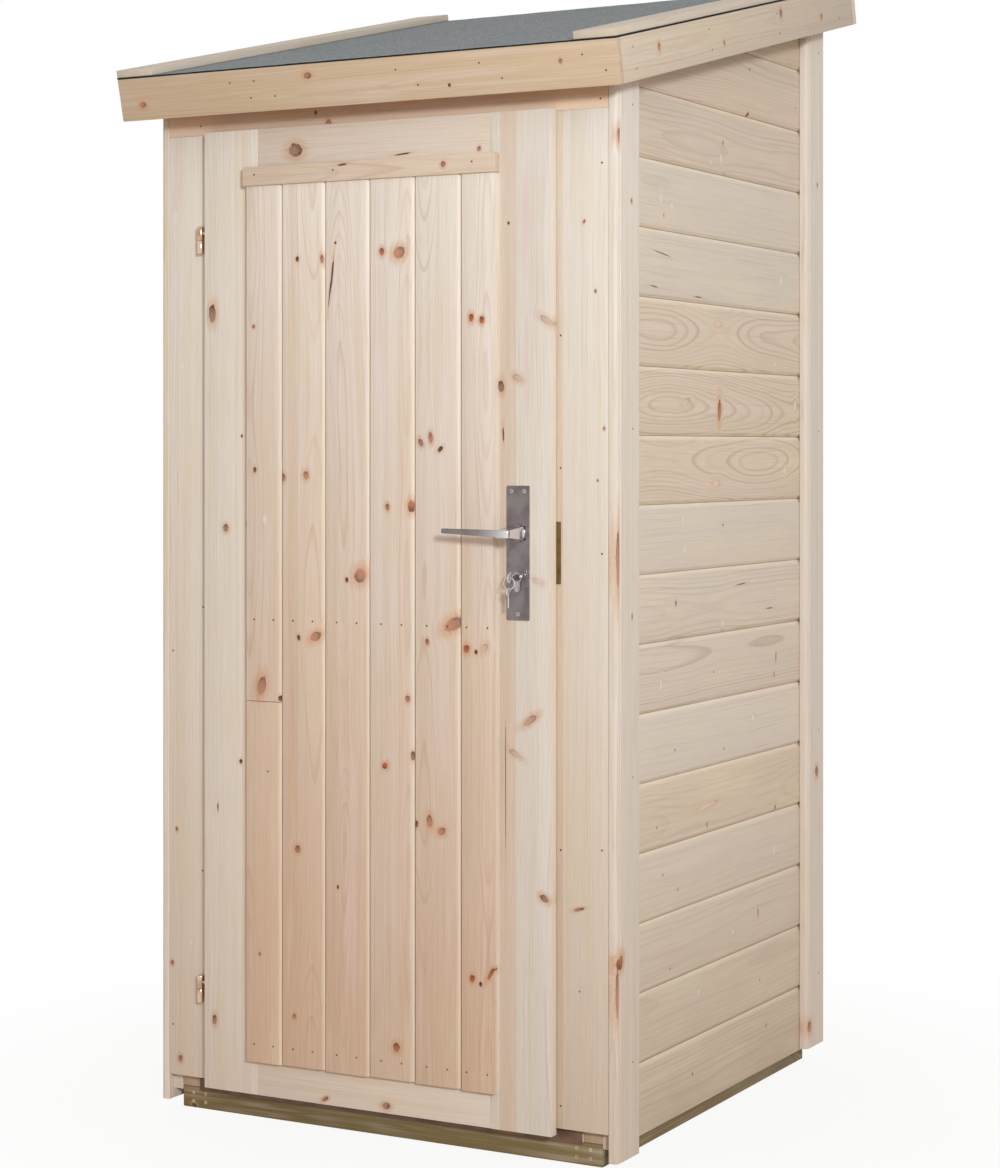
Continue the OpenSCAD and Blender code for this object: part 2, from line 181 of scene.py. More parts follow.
def wood(slot, name, sap, heart, ring, rough=0.58, ring_gap=0.0028, ring_depth=0.42):
    """Softwood, cut from rings round a pith that each board places for itself."""
    f = Finish(name, {"Specular IOR Level": 0.3})
    grain = f.attribute("grain")
    across, depth, along = f.split(grain)
    heartiness, shade, flame = f.split(f.attribute("tone"))
    warmer, lighter, lines = f.split(f.attribute("run"))
    band_mid, band_half, band_depth = f.split(f.attribute("band"))
    pith_across, pith_depth, seed = f.split(f.attribute("pith"))
    # The hue attribute also carries the painted highlight on lit chamfers and the painted warm shadow
    hue, crest, amber = f.split(f.attribute("hue"))
    spot = f.join(across, along, 1.0)

    # The nearest knot, counted in its own radii, which end of it this is, and how
    # the knots push the grain aside
    nearest = f.calc("ADD", FAR, 0.0)
    leaning = f.calc("ADD", FAR, 0.0)
    kind = f.calc("ADD", 0.0, 0.0)
    push = f.calc("ADD", 0.0, 0.0)
    for i in range(KNOTS[slot]):
        mark, side_u, side_v = f.split(f.attribute(f"knot_{i}"))
        u = f.dot(spot, f.attribute(f"knot_u_{i}"))
        v = f.dot(spot, f.attribute(f"knot_v_{i}"))
        reach = u * u + v * v
        push = push + (u * side_u + v * side_v) * f.calc("POWER", 0.8, reach)
        kind = kind + f.calc("LESS_THAN", reach, nearest) * (mark - kind)
        nearest = f.calc("MINIMUM", reach, nearest)
        leaning = f.calc("MINIMUM", f.calc("MULTIPLY_ADD", u, -1.0, reach), leaning)

    # Rings, drifting along the board as the tree was never quite straight
    drift_across = f.noise(f.join(seed * 7.3, seed, along * 1.3), 1.0, 1.0) - 0.5
    drift_depth = f.noise(f.join(seed, seed * 5.1, along * 1.7), 1.0, 1.5) - 0.5
    waver = f.noise(f.join(across * 30.0, depth * 30.0 + seed, along * 6.0), 1.0, 2.0) - 0.5
    ring_x = across - push - pith_across + drift_across * flame * 0.05 + waver * 0.004
    ring_y = depth - pith_depth + drift_depth * flame * 0.09
    radius = f.calc("SQRT", ring_x * ring_x + ring_y * ring_y)
    count = radius / ring_gap + seed * 3.0
    phase = f.calc("FRACT", count)
    year = f.node("TexWhiteNoise", {"noise_dimensions": "1D"}, {"W": f.calc("FLOOR", count)})
    late = f.ramp(phase, 0.5, 0.93) * (1.0 - f.ramp(phase, 0.95, 1.0)) * (0.15 + year * 0.85)

    # Streaks of warmer and of greyer wood along the grain, and the fine fibres
    streak = f.noise(f.join(ring_x * 90.0, ring_y * 30.0 + seed * 9.0, along * 0.9), 1.0, 3.0, 0.62)
    vein = f.noise(f.join(ring_x * 420.0 + seed, depth * 60.0, along * 2.6), 1.0, 2.0)
    fibre = f.noise(f.join(across * 620.0, depth * 620.0, along * 16.0 + seed), 1.0, 1.0)
    cloud = f.noise(f.join(across * 14.0, seed * 4.0, along * 3.4), 1.0, 2.0, 0.6)
    off_band = f.calc("ABSOLUTE", across - band_mid) - band_half
    band = band_depth * (1.0 - f.ramp(off_band, -0.0006, 0.0012))

    # Knots: a ringed core, darker at one end, in a rim and a stain that follows the grain
    ragged = f.noise(grain, 170.0, 2.0) - 0.5
    q = f.calc("SQRT", nearest) + ragged * 0.8
    end = f.ramp(nearest - leaning + ragged * 1.5, -0.5, 0.8)
    core = 1.0 - f.ramp(q, 0.8, 1.05)
    rim = f.ramp(q, 0.6, 0.95) * (1.0 - f.ramp(q, 1.0, 1.25))
    halo = 1.0 - f.ramp(q + (vein - 0.5) * 2.8, 0.8, 2.9)
    turns = f.calc("SINE", q * 15.0) * 0.5 + 0.5
    unevenness = (streak - 0.5) * 0.7 + (cloud - 0.5) * 0.5
    # warmer * along warms the wood towards its foot, partly painted warm shade, partly its own tone
    warm = f.ramp(heartiness + warmer * along + unevenness + band, 0.0, 1.0)
    stain = f.ramp(kind, -0.3, 0.1)
    live = f.mix(turns * 0.45 + end * 0.55, (194, 112, 66), (122, 58, 34))
    grey = f.mix(turns * 0.6 + end * 0.4, (178, 144, 126), (126, 90, 78))
    dead = f.mix(end, (112, 82, 64), (52, 34, 27))
    core_tint = f.mix(f.ramp(kind, 0.1, 0.4), live, grey)
    core_tint = f.mix(f.ramp(kind, 0.6, 0.9), core_tint, dead)
    core_tint = f.mix(stain, (234, 228, 218), core_tint)

    tint = f.mix(warm, sap, heart)
    yellowness = streak + cloud + hue
    tint = f.mix(f.ramp(yellowness, 0.95, 1.3) * 0.4, tint, (222, 210, 186))
    tint = f.mix((1.0 - f.ramp(yellowness, 0.6, 0.95)) * 0.5, tint, (225, 197, 184))
    # Painted warm shadow, orange as under the eave, on a board's low side of X
    tint = f.mix(amber, tint, (206, 136, 84))
    tint = f.mix(late * ring_depth * (lines + halo * stain * 0.5), tint, ring)
    tint = f.mix(f.ramp(vein, 0.55, 0.78) * 0.4, tint, ring)
    # Painted highlight: the chamfers on a board's lit side are painted pale
    tint = f.mix(crest, tint, (243, 229, 208))
    tint = f.mix(halo * stain * (0.72 - 0.3 * kind), tint, (210, 152, 108))
    tint = f.mix(core * (0.6 + 0.38 * stain), tint, core_tint)
    tint = f.mix(rim * stain * (0.2 + 0.25 * kind + 0.5 * end), tint, (78, 42, 28))
    # lighter * along is painted shade: the wood darkens towards the board's foot
    level = 1.0 + shade + lighter * along + (fibre - 0.5) * 0.17 + (cloud - 0.5) * 0.07
    f.feed("Base Color", f.scale(tint, level))
    f.feed("Roughness", rough - late * 0.08 + fibre * 0.08)
    f.bump(fibre * 0.35 - late * 0.3 - core * rim, 0.0005, 0.7)
    return f.owner


def felt():
    """Roofing felt: slate grey granules pressed into black bitumen, bare at its cut edges."""
    f = Finish("felt_granules", {"Specular IOR Level": 0.2})
    place = f.place()
    grit = f.node("TexVoronoi", {}, {0: place, "Scale": 520.0}, 1)
    grain = f.calc("FRACT", f.split(grit)[0] * 7.0)
    bare = f.ramp(f.noise(place, 90.0, 3.0), 0.58, 0.72)
    cloud = f.noise(place, 6.0, 3.0)
    tint = f.mix(grain, (93, 99, 103), (176, 181, 183))
    tint = f.mix(cloud * 0.5, tint, (122, 129, 132))
    tint = f.mix(bare * 0.5, tint, (58, 60, 62))
    tint = f.mix(f.ramp(f.attribute("cut_edge", 2), 0.02, 0.15), tint, (34, 33, 32))
    f.feed("Base Color", tint)
    f.feed("Roughness", 0.86 + grain * 0.1)
    f.bump(grain * 0.6 + cloud, 0.0009, 0.8)
    return f.owner


def metal(name, tint, worn, rough, brushed=(1, 1, 1), metallic=1.0):
    """A metal with fine marks along one axis and cloudy wear, bright where it is polished and where a glint
    is painted on.
    """
    f = Finish(name, {"Metallic": metallic, "Specular IOR Level": 0.5})
    lines = f.noise(f.stretched(*brushed), 900.0, 2.0)
    cloud = f.noise(f.place(), 38.0, 3.0)
    polish_and_glint = f.calc("POWER", f.attribute("polish_and_glint", 2), 4.0)
    plain_tint = f.mix(f.ramp(cloud, 0.35, 0.75), tint, worn)
    # Polished places, and those with a painted glint, turn near-white
    f.feed("Base Color", f.mix(polish_and_glint, plain_tint, (222, 220, 222)))
    f.feed("Roughness", rough - polish_and_glint * 0.08 + (lines - 0.5) * 0.2 + (cloud - 0.5) * 0.12)
    f.bump(lines, 0.00006, 0.5)
    return f.owner


SAP = (228, 221, 211)
HEART = (217, 191, 167)
RING = (194, 162, 132)
BROWN_RING = (176, 138, 100)
FINISHES = {slot: wood(slot, *look) for slot, look in {
    "wall_boards": ("pale_wall_wood", (212, 201, 189), (205, 185, 160), (166, 138, 110), 0.6, 0.0042, 0.55),
    "front_boards": ("pale_front_wood", SAP, HEART, RING),
    "trim_wood": ("planed_trim_wood", (229, 221, 211), HEART, (184, 158, 134)),
    "frame_timber": ("frame_wood", (222, 200, 172), (206, 170, 140), RING),
    "floor_boards": ("floor_wood", (226, 206, 178), (214, 180, 142), BROWN_RING),
    "fascia_wood": ("fascia_wood", (222, 210, 194), (200, 171, 137), BROWN_RING),
    "door_frame_wood": ("door_frame_wood", SAP, HEART, RING),
    "door_panel_wood": ("door_panel_wood", (231, 223, 214), (212, 180, 153), (186, 146, 114)),
    "treated_timber": ("green_treated_wood", (132, 114, 72), (108, 88, 54), (72, 58, 36)),
}.items()}
FINISHES |= {slot: metal(*look) for slot, look in {
    "threshold_metal": ("threshold_metal", (118, 90, 72), (94, 68, 54), 0.5, (0.05, 1, 1), 0.6),
    "strike_metal": ("strike_metal", (138, 116, 74), (112, 90, 56), 0.38, (1, 1, 0.1)),
    "hinge_brass": ("hinge_brass", (218, 190, 164), (178, 138, 108), 0.16),
    "lock_case_steel": ("bright_steel", (206, 203, 202), (178, 174, 172), 0.2),
    "handle_steel": ("satin_steel", (134, 125, 125), (114, 103, 101), 0.24, (1, 1, 0.04)),
}.items()}
FINISHES["roofing_felt"] = felt()


# ---- Shaping ----

# Places this close to each other, in millimetres, count as one
TOUCH = 0.01
# A turned part's profile starts and ends this far from its axis
CORE = 0.001
# Edges between faces that meet more squarely than this, in radians, are corners
CORNER = 1.2
QUARTER = math.pi / 2


def span(node):
    """A solid's lowest and highest corner, in millimetres."""
    low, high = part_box(node)
    return low / MM, high / MM


def points_of(node):
    return [v.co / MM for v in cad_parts[node].data.vertices]


def levels(node):
    """The heights at which a solid has points."""
    return sorted({round(point.z) for point in points_of(node)})


def piece(bm, name, body, slot, *nodes):
    """A finished mesh: in metres, on its body, with its slot's finish."""
    bmesh.ops.scale(bm, vec=(MM, MM, MM), verts=bm.verts)
    mesh = bpy.data.meshes.new(name)
    bm.to_mesh(mesh)
    bm.free()
    for polygon in mesh.polygons:
        polygon.use_smooth = True
    mesh.set_sharp_from_angle(angle=math.radians(32))
    mesh.materials.append(FINISHES[slot])
    made = bpy.data.objects.new(name, mesh)
    SCENE.collection.objects.link(made)
    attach(made, body)
    if nodes:
        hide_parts(*nodes)


def box_outline(x0, y0, x1, y1):
    return [(x0, y0), (x1, y0), (x1, y1), (x0, y1)]


def pushed(bm, faces, way):
    """Draws faces out along a vector, and gives the points of the far end."""
    grown = bmesh.ops.extrude_face_region(bm, geom=faces)["geom"]
    end = [g for g in grown if isinstance(g, bmesh.types.BMVert)]
    bmesh.ops.translate(bm, verts=end, vec=way)
    bmesh.ops.recalc_face_normals(bm, faces=bm.faces)
    return end


def drawn(bm, outline, length):
    """A bar: an outline of (x, y) points at z = 0, drawn out along +Z."""
    pushed(bm, [bm.faces.new([bm.verts.new((x, y, 0)) for x, y in outline])], (0, 0, length))


def moved(bm, matrix):
    bmesh.ops.transform(bm, matrix=matrix, verts=bm.verts)


def ease(bm, edges, radius, segments=2):
    """Rounds these edges over."""
    bmesh.ops.bevel(bm, geom=edges, offset=radius, offset_type="OFFSET", segments=segments,
                    profile=0.5, affect="EDGES", material=-1, clamp_overlap=True)


def sharp_edges(bm, angle=0.5):
    return [e for e in bm.edges if e.calc_face_angle(0) > angle]


def edges_at(bm, test):
    """The sharp edges whose ends both pass a test."""
    return [e for e in sharp_edges(bm) if all(test(v.co) for v in e.verts)]


def drop(e, axis):
    """How far apart an edge's ends are along an axis."""
    return abs(e.verts[0].co[axis] - e.verts[1].co[axis])


def cut_off(bm, point, normal):
    """Cuts away what lies on the normal's side of a plane, and closes the cut."""
    everything = bm.verts[:] + bm.edges[:] + bm.faces[:]
    cut = bmesh.ops.bisect_plane(bm, geom=everything, dist=1e-4, plane_co=point, plane_no=normal,
                                 clear_outer=True)
    rims = [g for g in cut["geom_cut"] if isinstance(g, bmesh.types.BMEdge)]
    if rims:
        bmesh.ops.edgeloop_fill(bm, edges=rims)


def absorb(bm, part):
    """Adds a part's mesh to a larger one."""
    mesh = bpy.data.meshes.new("part")
    part.to_mesh(mesh)
    part.free()
    bm.from_mesh(mesh)
    bpy.data.meshes.remove(mesh)


def facing(axis):
    """The turn that brings +Z to an axis."""
    return Z.rotation_difference(axis).to_matrix().to_4x4()


def spun(bm, geom, steps):
    """Spins a profile once round the Z axis."""
    bmesh.ops.spin(bm, geom=geom, cent=(0, 0, 0), axis=(0, 0, 1), dvec=(0, 0, 0),
                   angle=math.tau, steps=steps, use_merge=True, use_duplicate=False)
    bmesh.ops.remove_doubles(bm, verts=bm.verts, dist=1e-4)
    bmesh.ops.recalc_face_normals(bm, faces=bm.faces)


def turned(profile, steps, at, axis):
    """A turned part: (radius, height) points spun round an axis through a point."""
    bm = bmesh.new()
    verts = [bm.verts.new((r, 0, h)) for r, h in profile]
    edges = [bm.edges.new(pair) for pair in zip(verts, verts[1:])]
    spun(bm, verts + edges, steps)
    moved(bm, Matrix.Translation(at) @ facing(axis))
    return bm


def rod(radius, start, end, steps, at, axis):
    """A plain round bar, from start to end along its axis."""
    return turned([(CORE, start), (radius, start), (radius, end), (CORE, end)], steps, at, axis)


def set_polish_and_glint(bm, amount):
    """Writes down how polished the metal is at each place, and how strong a painted glint it gets there."""
    polish_and_glint = bm.verts.layers.float.new("polish_and_glint")
    for vert in bm.verts:
        vert[polish_and_glint] = amount(vert.co)


# ---- The roof's own directions: X across, Y up the slope, Z square to it ----

def roof_frame():
    """The frame whose origin is the felt's front underside edge."""
    corners = points_of("roof_felt")
    foot = min(corners, key=lambda c: c.z)
    head = max(corners, key=lambda c: c.y)
    slope = math.atan2(head.z - foot.z, head.y - foot.y)
    return Matrix.Translation((0, foot.y, foot.z)) @ Matrix.Rotation(slope, 4, "X")


GROUND = Matrix.Identity(4)
ROOF = roof_frame()
ROOF_TURN = ROOF.to_3x3()


def roof_span(node):
    """A solid's lowest and highest corner in the roof's own directions."""
    back = ROOF.inverted()
    corners = [back @ point for point in points_of(node)]
    return (Vector([min(c[i] for c in corners) for i in range(3)]),
            Vector([max(c[i] for c in corners) for i in range(3)]))


DECK_LOW, DECK_HIGH = roof_span("roof_deck")
UNDER_ROOF = (ROOF @ Vector((0, 0, DECK_LOW.z)), ROOF_TURN @ Z)


# ---- Boards ----

# Where a knot is on its board's face, its radius, how much longer than wide it is, its
# kind (0 live, 0.5 grey, 1 dead, and below 0 a pale scar) and which way it is long, in
# degrees. A very long one is a slit or a streak of resin.
Knot = namedtuple("Knot", "u v radius stretch kind turn", defaults=(1.2, 0, 90))

# How a board is cut: how much of it is heartwood, how light it is, how much its
# grain wanders, a warm band across it (middle, half width, strength), where its
# pith lies (across, depth), how much warmer and lighter it gets in a metre (painted shade,
# darker towards its foot, and warmer there, partly painted warm shade and partly its own
# tone) and how plain its rings are, whether it is yellowish (above 0) or pinkish (below),
# and how strong a painted warm shadow, as under the eave, lies on its edge on the low side of X
Cut = namedtuple("Cut", "heart shade flame band pith run hue amber",
                 defaults=(0.4, 0, 0.3, (0, 0, 0), (10, 70), (0, 0, 0.7), 0, 0))

# How far behind a board's face its chamfers count as such
CHAMFERED = 0.9


def lie(across, depth):
    """The way a board lies: across its face, into its thickness, and so along it."""
    return Matrix((across, depth, across.cross(depth))).transposed()


FRONT_UP = lie(X, Y)
FRONT_LEVEL = lie(-Z, Y)
RIGHT_LEVEL = lie(-Z, -X)
LEFT_LEVEL = lie(-Z, X)
BACK_LEVEL = lie(-Z, -Y)
RIGHT_UP = lie(Y, -X)
LEFT_UP = lie(-Y, X)
FLAT_ACROSS = lie(-Y, -Z)
FLAT_BACK = lie(X, -Z)


def plain(width, thick):
    """A board's section with square corners, its face at depth 0."""
    return box_outline(-width / 2, 0, width / 2, thick)


def random_knots(rng, most, width, length, per_metre, biggest):
    """Knots for a board that has none of its own."""
    found = []
    for _ in range(min(most, int(length / 1000 * per_metre + rng.random()))):
        radius = biggest * rng.uniform(0.25, 1) ** 1.5
        found.append(Knot(rng.uniform(-0.5, 0.5) * width, rng.uniform(0.02, 0.98) * length, radius,
                          rng.uniform(1, 1.7), turn=rng.uniform(60, 120),
                          kind=rng.choice((0, 0.5, 0.5, 1, 1))))
    return found


def knot_values(knot):
    """What the wood finish reads of a knot: u and v, in its own radii from its middle, as
    sums of the place across and along, and its kind with its longer side's reach."""
    if knot is None:
        return (0, 0, 30), (0, 0, 30), (0, 0, 0)
    c = math.cos(math.radians(knot.turn))
    s = math.sin(math.radians(knot.turn))
    short = knot.radius * MM
    long = short * knot.stretch
    u = (c / long, s / long)
    v = (-s / short, c / short)
    return ((*u, -(u[0] * knot.u + u[1] * knot.v) * MM), (*v, -(v[0] * knot.u + v[1] * knot.v) * MM),
            (knot.kind, long * c, -short * s))


def set_grain(bm, cut, knots, seed, most, crest):
    """Writes down, at every vertex, what the wood finish reads. A painted highlight, above 0 on the
    high side of X or below 0 on its low side, is how pale the board's chamfer is painted there, as if lit."""
    values = {
        "tone": (cut.heart, cut.shade, cut.flame),
        "run": cut.run,
        "band": (cut.band[0] * MM, cut.band[1] * MM, cut.band[2]),
        "pith": (cut.pith[0] * MM, cut.pith[1] * MM, seed),
    }
    for i in range(most):
        knot = knots[i] if i < len(knots) else None
        values[f"knot_u_{i}"], values[f"knot_v_{i}"], values[f"knot_{i}"] = knot_values(knot)
    layers = bm.verts.layers.float_vector
    for name in ("grain", "hue", *values):
        layers.new(name)
    for name, value in values.items():
        layer = layers[name]
        for vert in bm.verts:
            vert[layer] = value
    grain = layers["grain"]
    hue = layers["hue"]
    for vert in bm.verts:
        vert[grain] = vert.co * MM
        # pale is the painted highlight on the lit side's chamfer; the low side of X takes the painted warm
        # shadow
        pale = abs(crest) if vert.co.x * crest > 0 and vert.co.y > CHAMFERED else 0
        vert[hue] = (cut.hue, pale, cut.amber if vert.co.x < 0 else 0)


class Joinery:
    """The boards of one piece."""

    def __init__(self, name, slot):
        self.bm = bmesh.new()
        self.rng = random.Random(name)
        self.name = name
        self.slot = slot

    def board(self, low, high, lay, cut=None, knots=None, section=plain, where=GROUND,
              edge=1.2, eased=None, under_roof=False, per_metre=3.5, biggest=7, shape=None, crest=0):
        """A board that fills the box from low to high, with its section's own shape."""
        low = Vector(low)
        high = Vector(high)
        size = high - low
        across, depth, along = (Vector(column) for column in lay.col)
        width = abs(across.dot(size))
        thick = abs(depth.dot(size))
        length = abs(along.dot(size))
        origin = (low + high) / 2 - depth * thick / 2 - along * length / 2
        rng = self.rng
        seed = rng.uniform(0, 9)
        if cut is None:
            cut = Cut(rng.uniform(0.15, 0.7), rng.uniform(-0.05, 0.03), rng.uniform(0.2, 0.8),
                      pith=(rng.uniform(-60, 60), rng.uniform(25, 90)), hue=rng.uniform(-0.15, 0.15))
        if knots is None:
            knots = random_knots(rng, KNOTS[self.slot], width, length, per_metre, biggest)
        else:
            knots = [self.on_board(Knot(*knot), lay, origin) for knot in knots]
        bm = bmesh.new()
        if shape:
            shape(bm, width, thick, length)
        else:
            drawn(bm, section(width, thick), length)
        if edge:
            ease(bm, [e for e in sharp_edges(bm) if eased is None or eased(e)], edge)
        set_grain(bm, cut, knots, seed, KNOTS[self.slot], crest)
        moved(bm, where @ Matrix.Translation(origin) @ lay.to_4x4())
        if under_roof:
            cut_off(bm, *UNDER_ROOF)
        absorb(self.bm, bm)

    @staticmethod
    def on_board(knot, lay, origin):
        """A knot given on the shed's own axes, brought to its board's."""
        free = [i for i in range(3) if abs(lay.col[1][i]) < 0.5]

        def on_axes(a, b):
            made = Vector((0, 0, 0))
            made[free[0]] = a
            made[free[1]] = b
            return made

        turn = math.radians(knot.turn)
        flip = lay.transposed()
        local = flip @ (on_axes(knot.u, knot.v) - origin)
        way = flip @ on_axes(math.cos(turn), math.sin(turn))
        return knot._replace(u=local.x, v=local.z, turn=math.degrees(math.atan2(way.z, way.x)))

    def finish(self, body, *nodes):
        piece(self.bm, self.name, body, self.slot, *nodes)


def single(body, slot, node, lay, cut=None, knots=None, suffix="_board", where=GROUND, **rest):
    """A piece that is one board, as large as its solid."""
    joinery = Joinery(node + suffix, slot)
    size = span(node) if where is GROUND else roof_span(node)
    joinery.board(*size, lay, cut, knots, where=where, **rest)
    joinery.finish(body, node)


def tongued(top_chamfer, top_deep, foot_chamfer, foot_deep, head=True, foot=True, gap=0.2):
    """The section of a tongue and groove board, its tongue on the low side of X.
    head and foot say whether it has a neighbour on the low and on the high side."""
    tongue = 5.5
    tongue_thick = 4
    groove = tongue + 0.8

    def section(width, thick):
        half = width / 2
        t0 = max(thick / 2 - 2, top_deep + 1)
        t1 = t0 + tongue_thick
        left = -half + gap
        right = half - gap
        points = [(left, top_deep), (-half + top_chamfer, 0)] if head else [(-half, 0)]
        if foot:
            inner = half - groove
            points += [(half - foot_chamfer, 0), (right, foot_deep), (right, t0 - gap),
                       (inner, t0 - gap), (inner, t1 + gap), (right, t1 + gap), (right, thick)]
        else:
            points += [(half, 0), (half, thick)]
        if head:
            points += [(left, thick), (left, t1), (left - tongue, t1), (left - tongue, t0), (left, t0)]
        else:
            points += [(-half, thick)]
        return points
    return section


def on_face(e):
    """Whether an edge runs along a board's face."""
    return all(abs(v.co.y) < TOUCH for v in e.verts) and drop(e, 2) > 1


# ---- Base and frame ----

def bearers():
    lays = {"front": FRONT_LEVEL, "back": BACK_LEVEL, "left": lie(Z, X), "right": RIGHT_LEVEL}
    for side, lay in lays.items():
        single("shed", "treated_timber", f"bearer_{side}", lay, Cut(0.5, 0, 0.4, pith=(-20, 40)),
               suffix="_timber", edge=2.5, biggest=5)


def floor():
    """Floor boards, the first and the last of them between the posts."""
    low, high = span("floor")
    post_low, post_high = span("post_front_left")
    notch = post_high.y - post_low.y
    inset = post_high.x - post_low.x
    inner = high.y - low.y - 2 * notch
    boards = 8
    section = tongued(0.8, 0.8, 0.8, 0.8)
    joinery = Joinery("floor_boarding", "floor_boards")

    def end_board(y):
        joinery.board((low.x + inset, y, low.z), (high.x - inset, y + notch, high.z), FLAT_ACROSS, edge=0)

    end_board(low.y)
    for i in range(boards):
        y = low.y + notch + inner * i / boards
        joinery.board((low.x, y, low.z), (high.x, y + inner / boards, high.z), FLAT_ACROSS,
                      section=section, edge=0)
    end_board(high.y - notch)
    joinery.finish("shed", "floor")


def threshold():
    """A metal angle: an upright leg in front, and a level one behind it."""
    low, high = span("threshold")
    leg = 2.0
    bm = bmesh.new()
    drawn(bm, [(low.y, low.z), (low.y + leg, low.z), (low.y + leg, high.z - leg),
               (high.y, high.z - leg), (high.y, high.z), (low.y, high.z)], high.x - low.x)
    ease(bm, edges_at(bm, lambda at: at.x < low.y + TOUCH and at.y > high.z - TOUCH), 1.8, 4)
    moved(bm, Matrix.Translation((low.x, 0, 0)) @ lie(Y, Z).to_4x4())
    piece(bm, "threshold_angle", "shed", "threshold_metal", "threshold")


def posts_and_rails():
    for end in ("front", "back"):
        for side in ("left", "right"):
            single("shed", "frame_timber", f"post_{end}_{side}", FRONT_UP,
                   Cut(0.8, -0.28, 0.3, pith=(10, 60)),
                   suffix="_timber", edge=2, under_roof=True, per_metre=2)
    single("shed", "frame_timber", "head_rail", FRONT_LEVEL, suffix="_timber", edge=2)
    low, high = roof_span("rafters")
    joinery = Joinery("rafter_timbers", "frame_timber")
    rafter = 28
    for x in (low.x, high.x - rafter):
        joinery.board((x, low.y, low.z), (x + rafter, high.y, high.z), RIGHT_LEVEL, where=ROOF, edge=2)
    joinery.finish("shed", "rafters")


# ---- Walls ----

FIRST_COURSE = 120
COURSE = 117
COURSE_SECTION = tongued(9, 4.5, 6, 4.5, gap=0.6)
LOWEST_SECTION = tongued(9, 4.5, 6, 4.5, foot=False, gap=0.6)

# The right wall's boards, counted from the lowest. How each is cut: its heartwood,
# lightness and wander, its pith across and in depth, and how plain its rings are.
# The lowest four are made darker, a painted shade towards the ground
RIGHT_CUTS = [Cut(*tone, pith=pith, run=(0, 0, rings)) for *tone, pith, rings in (
    (0.7, -0.1, 0.2, (40, 110), 0.7),
    (0.6, -0.08, 0.2, (-30, 120), 0.4),
    (0.5, -0.05, 0.2, (20, 130), 0.4),
    (0.4, -0.03, 0.1, (-20, 140), 0.4),
    (0.6, 0.01, 0.4, (20, 90), 0.5),
    (0.2, 0.02, 0.1, (30, 140), 0.25),
    (0.35, 0.0, 0.3, (-30, 80), 0.8),
    (0.3, 0.01, 0.4, (10, 70), 0.7),
    (0.2, 0.02, 0.1, (-30, 150), 0.2),
    (0.55, 0.06, 1.1, (-12, 50), 1.0),
    (0.55, 0.06, 1.1, (8, 46), 1.0),
    (0.5, 0.06, 1.0, (-6, 52), 1.0),
    (0.1, 0.01, 0.1, (30, 150), 0.25),
    (0.15, 0.02, 0.2, (-20, 140), 0.3),
    (0.45, 0.0, 0.4, (10, 80), 0.7),
)]
# Their knots, pale scars and slits, by (Y, height)
RIGHT_KNOTS = [
    [(-120, 90, 2, 1.2, 1), (210, 110, 2, 1.5, 0.5)],
    [(-93, 228, 3, 1.3, -0.5), (180, 200, 1.5, 1.5, 1)],
    [(172, 327, 2, 3, 0.5), (57, 309, 4, 1.2, -0.5), (-213, 290, 1.5, 1, 1)],
    [(249, 431, 3, 2.2, -0.5), (-181, 421, 1.6, 1.2, 1), (-242, 455, 1.6, 1.2, 1)],
    [(-58, 551, 4, 11, -0.15, 4), (-266, 539, 1.6, 1.3, 1), (-58, 517, 2, 2, 0.5),
     (254, 508, 2.5, 2.5, 0.5)],
    [(149, 687, 3.5, 1.8, -0.5), (16, 644, 1.6, 1, 1), (-193, 663, 1.6, 1, 1)],
    [(258, 792, 2, 3.5, 0.6, 85), (249, 759, 1.8, 2, 0.6), (-28, 785, 1.5, 1, 1),
     (-250, 780, 3, 3, -0.5)],
    [(93, 936, 0.8, 26, 1, 3), (225, 885, 0.9, 15, 1, 0), (-189, 915, 2.6, 1.6, 0.7),
     (12, 870, 3, 2, -0.5)],
    [(-160, 1059, 3, 2.5, -0.5), (-152, 1006, 3.2, 2.2, -0.5), (12, 1045, 1.8, 1.4, 0.6)],
    [(-17, 1120, 6, 2.4, -0.15, 4), (300, 1140, 3, 2, -0.5)],
    [(-4, 1250, 6, 2.8, 0.25, 88), (-150, 1262, 3, 5, -0.15, 20), (353, 1265, 5, 2, -0.4)],
    [(-7, 1404, 5, 2.4, -0.15, 0), (255, 1340, 2, 2, -0.5)],
    [(-246, 1515, 0.9, 30, 0.8, -6), (-278, 1457, 0.9, 14, 1, -5), (-97, 1448, 0.9, 14, 1, 0),
     (283, 1498, 4, 2.2, -0.5)],
    [(-250, 1606, 3, 3.5, -0.5), (-205, 1600, 2.4, 2.6, -0.5), (-238, 1580, 1.5, 1.5, 0.6)],
    [(12, 1729, 2, 1.6, 0.6), (3, 1700, 3, 3, -0.5), (-40, 1690, 2.5, 1.6, -0.5)],
]


def wall(node, lay, cuts, all_knots):
    low, high = span(node)
    joinery = Joinery(f"{node}_boards", "wall_boards")
    z = low.z
    n = 0
    while z < high.z - 1:
        top = z + (COURSE if n else FIRST_COURSE)
        known = n < len(cuts)
        # The top chamfer of each course is painted pale, a painted highlight
        joinery.board((low.x, low.y, z), (high.x, high.y, top), lay, cuts[n] if known else None,
                      all_knots[n] if known else None, section=COURSE_SECTION if n else LOWEST_SECTION,
                      edge=0.8, eased=on_face, under_roof=True, per_metre=3, biggest=4, crest=-0.6)
        z = top
        n += 1
    joinery.finish("shed", node)


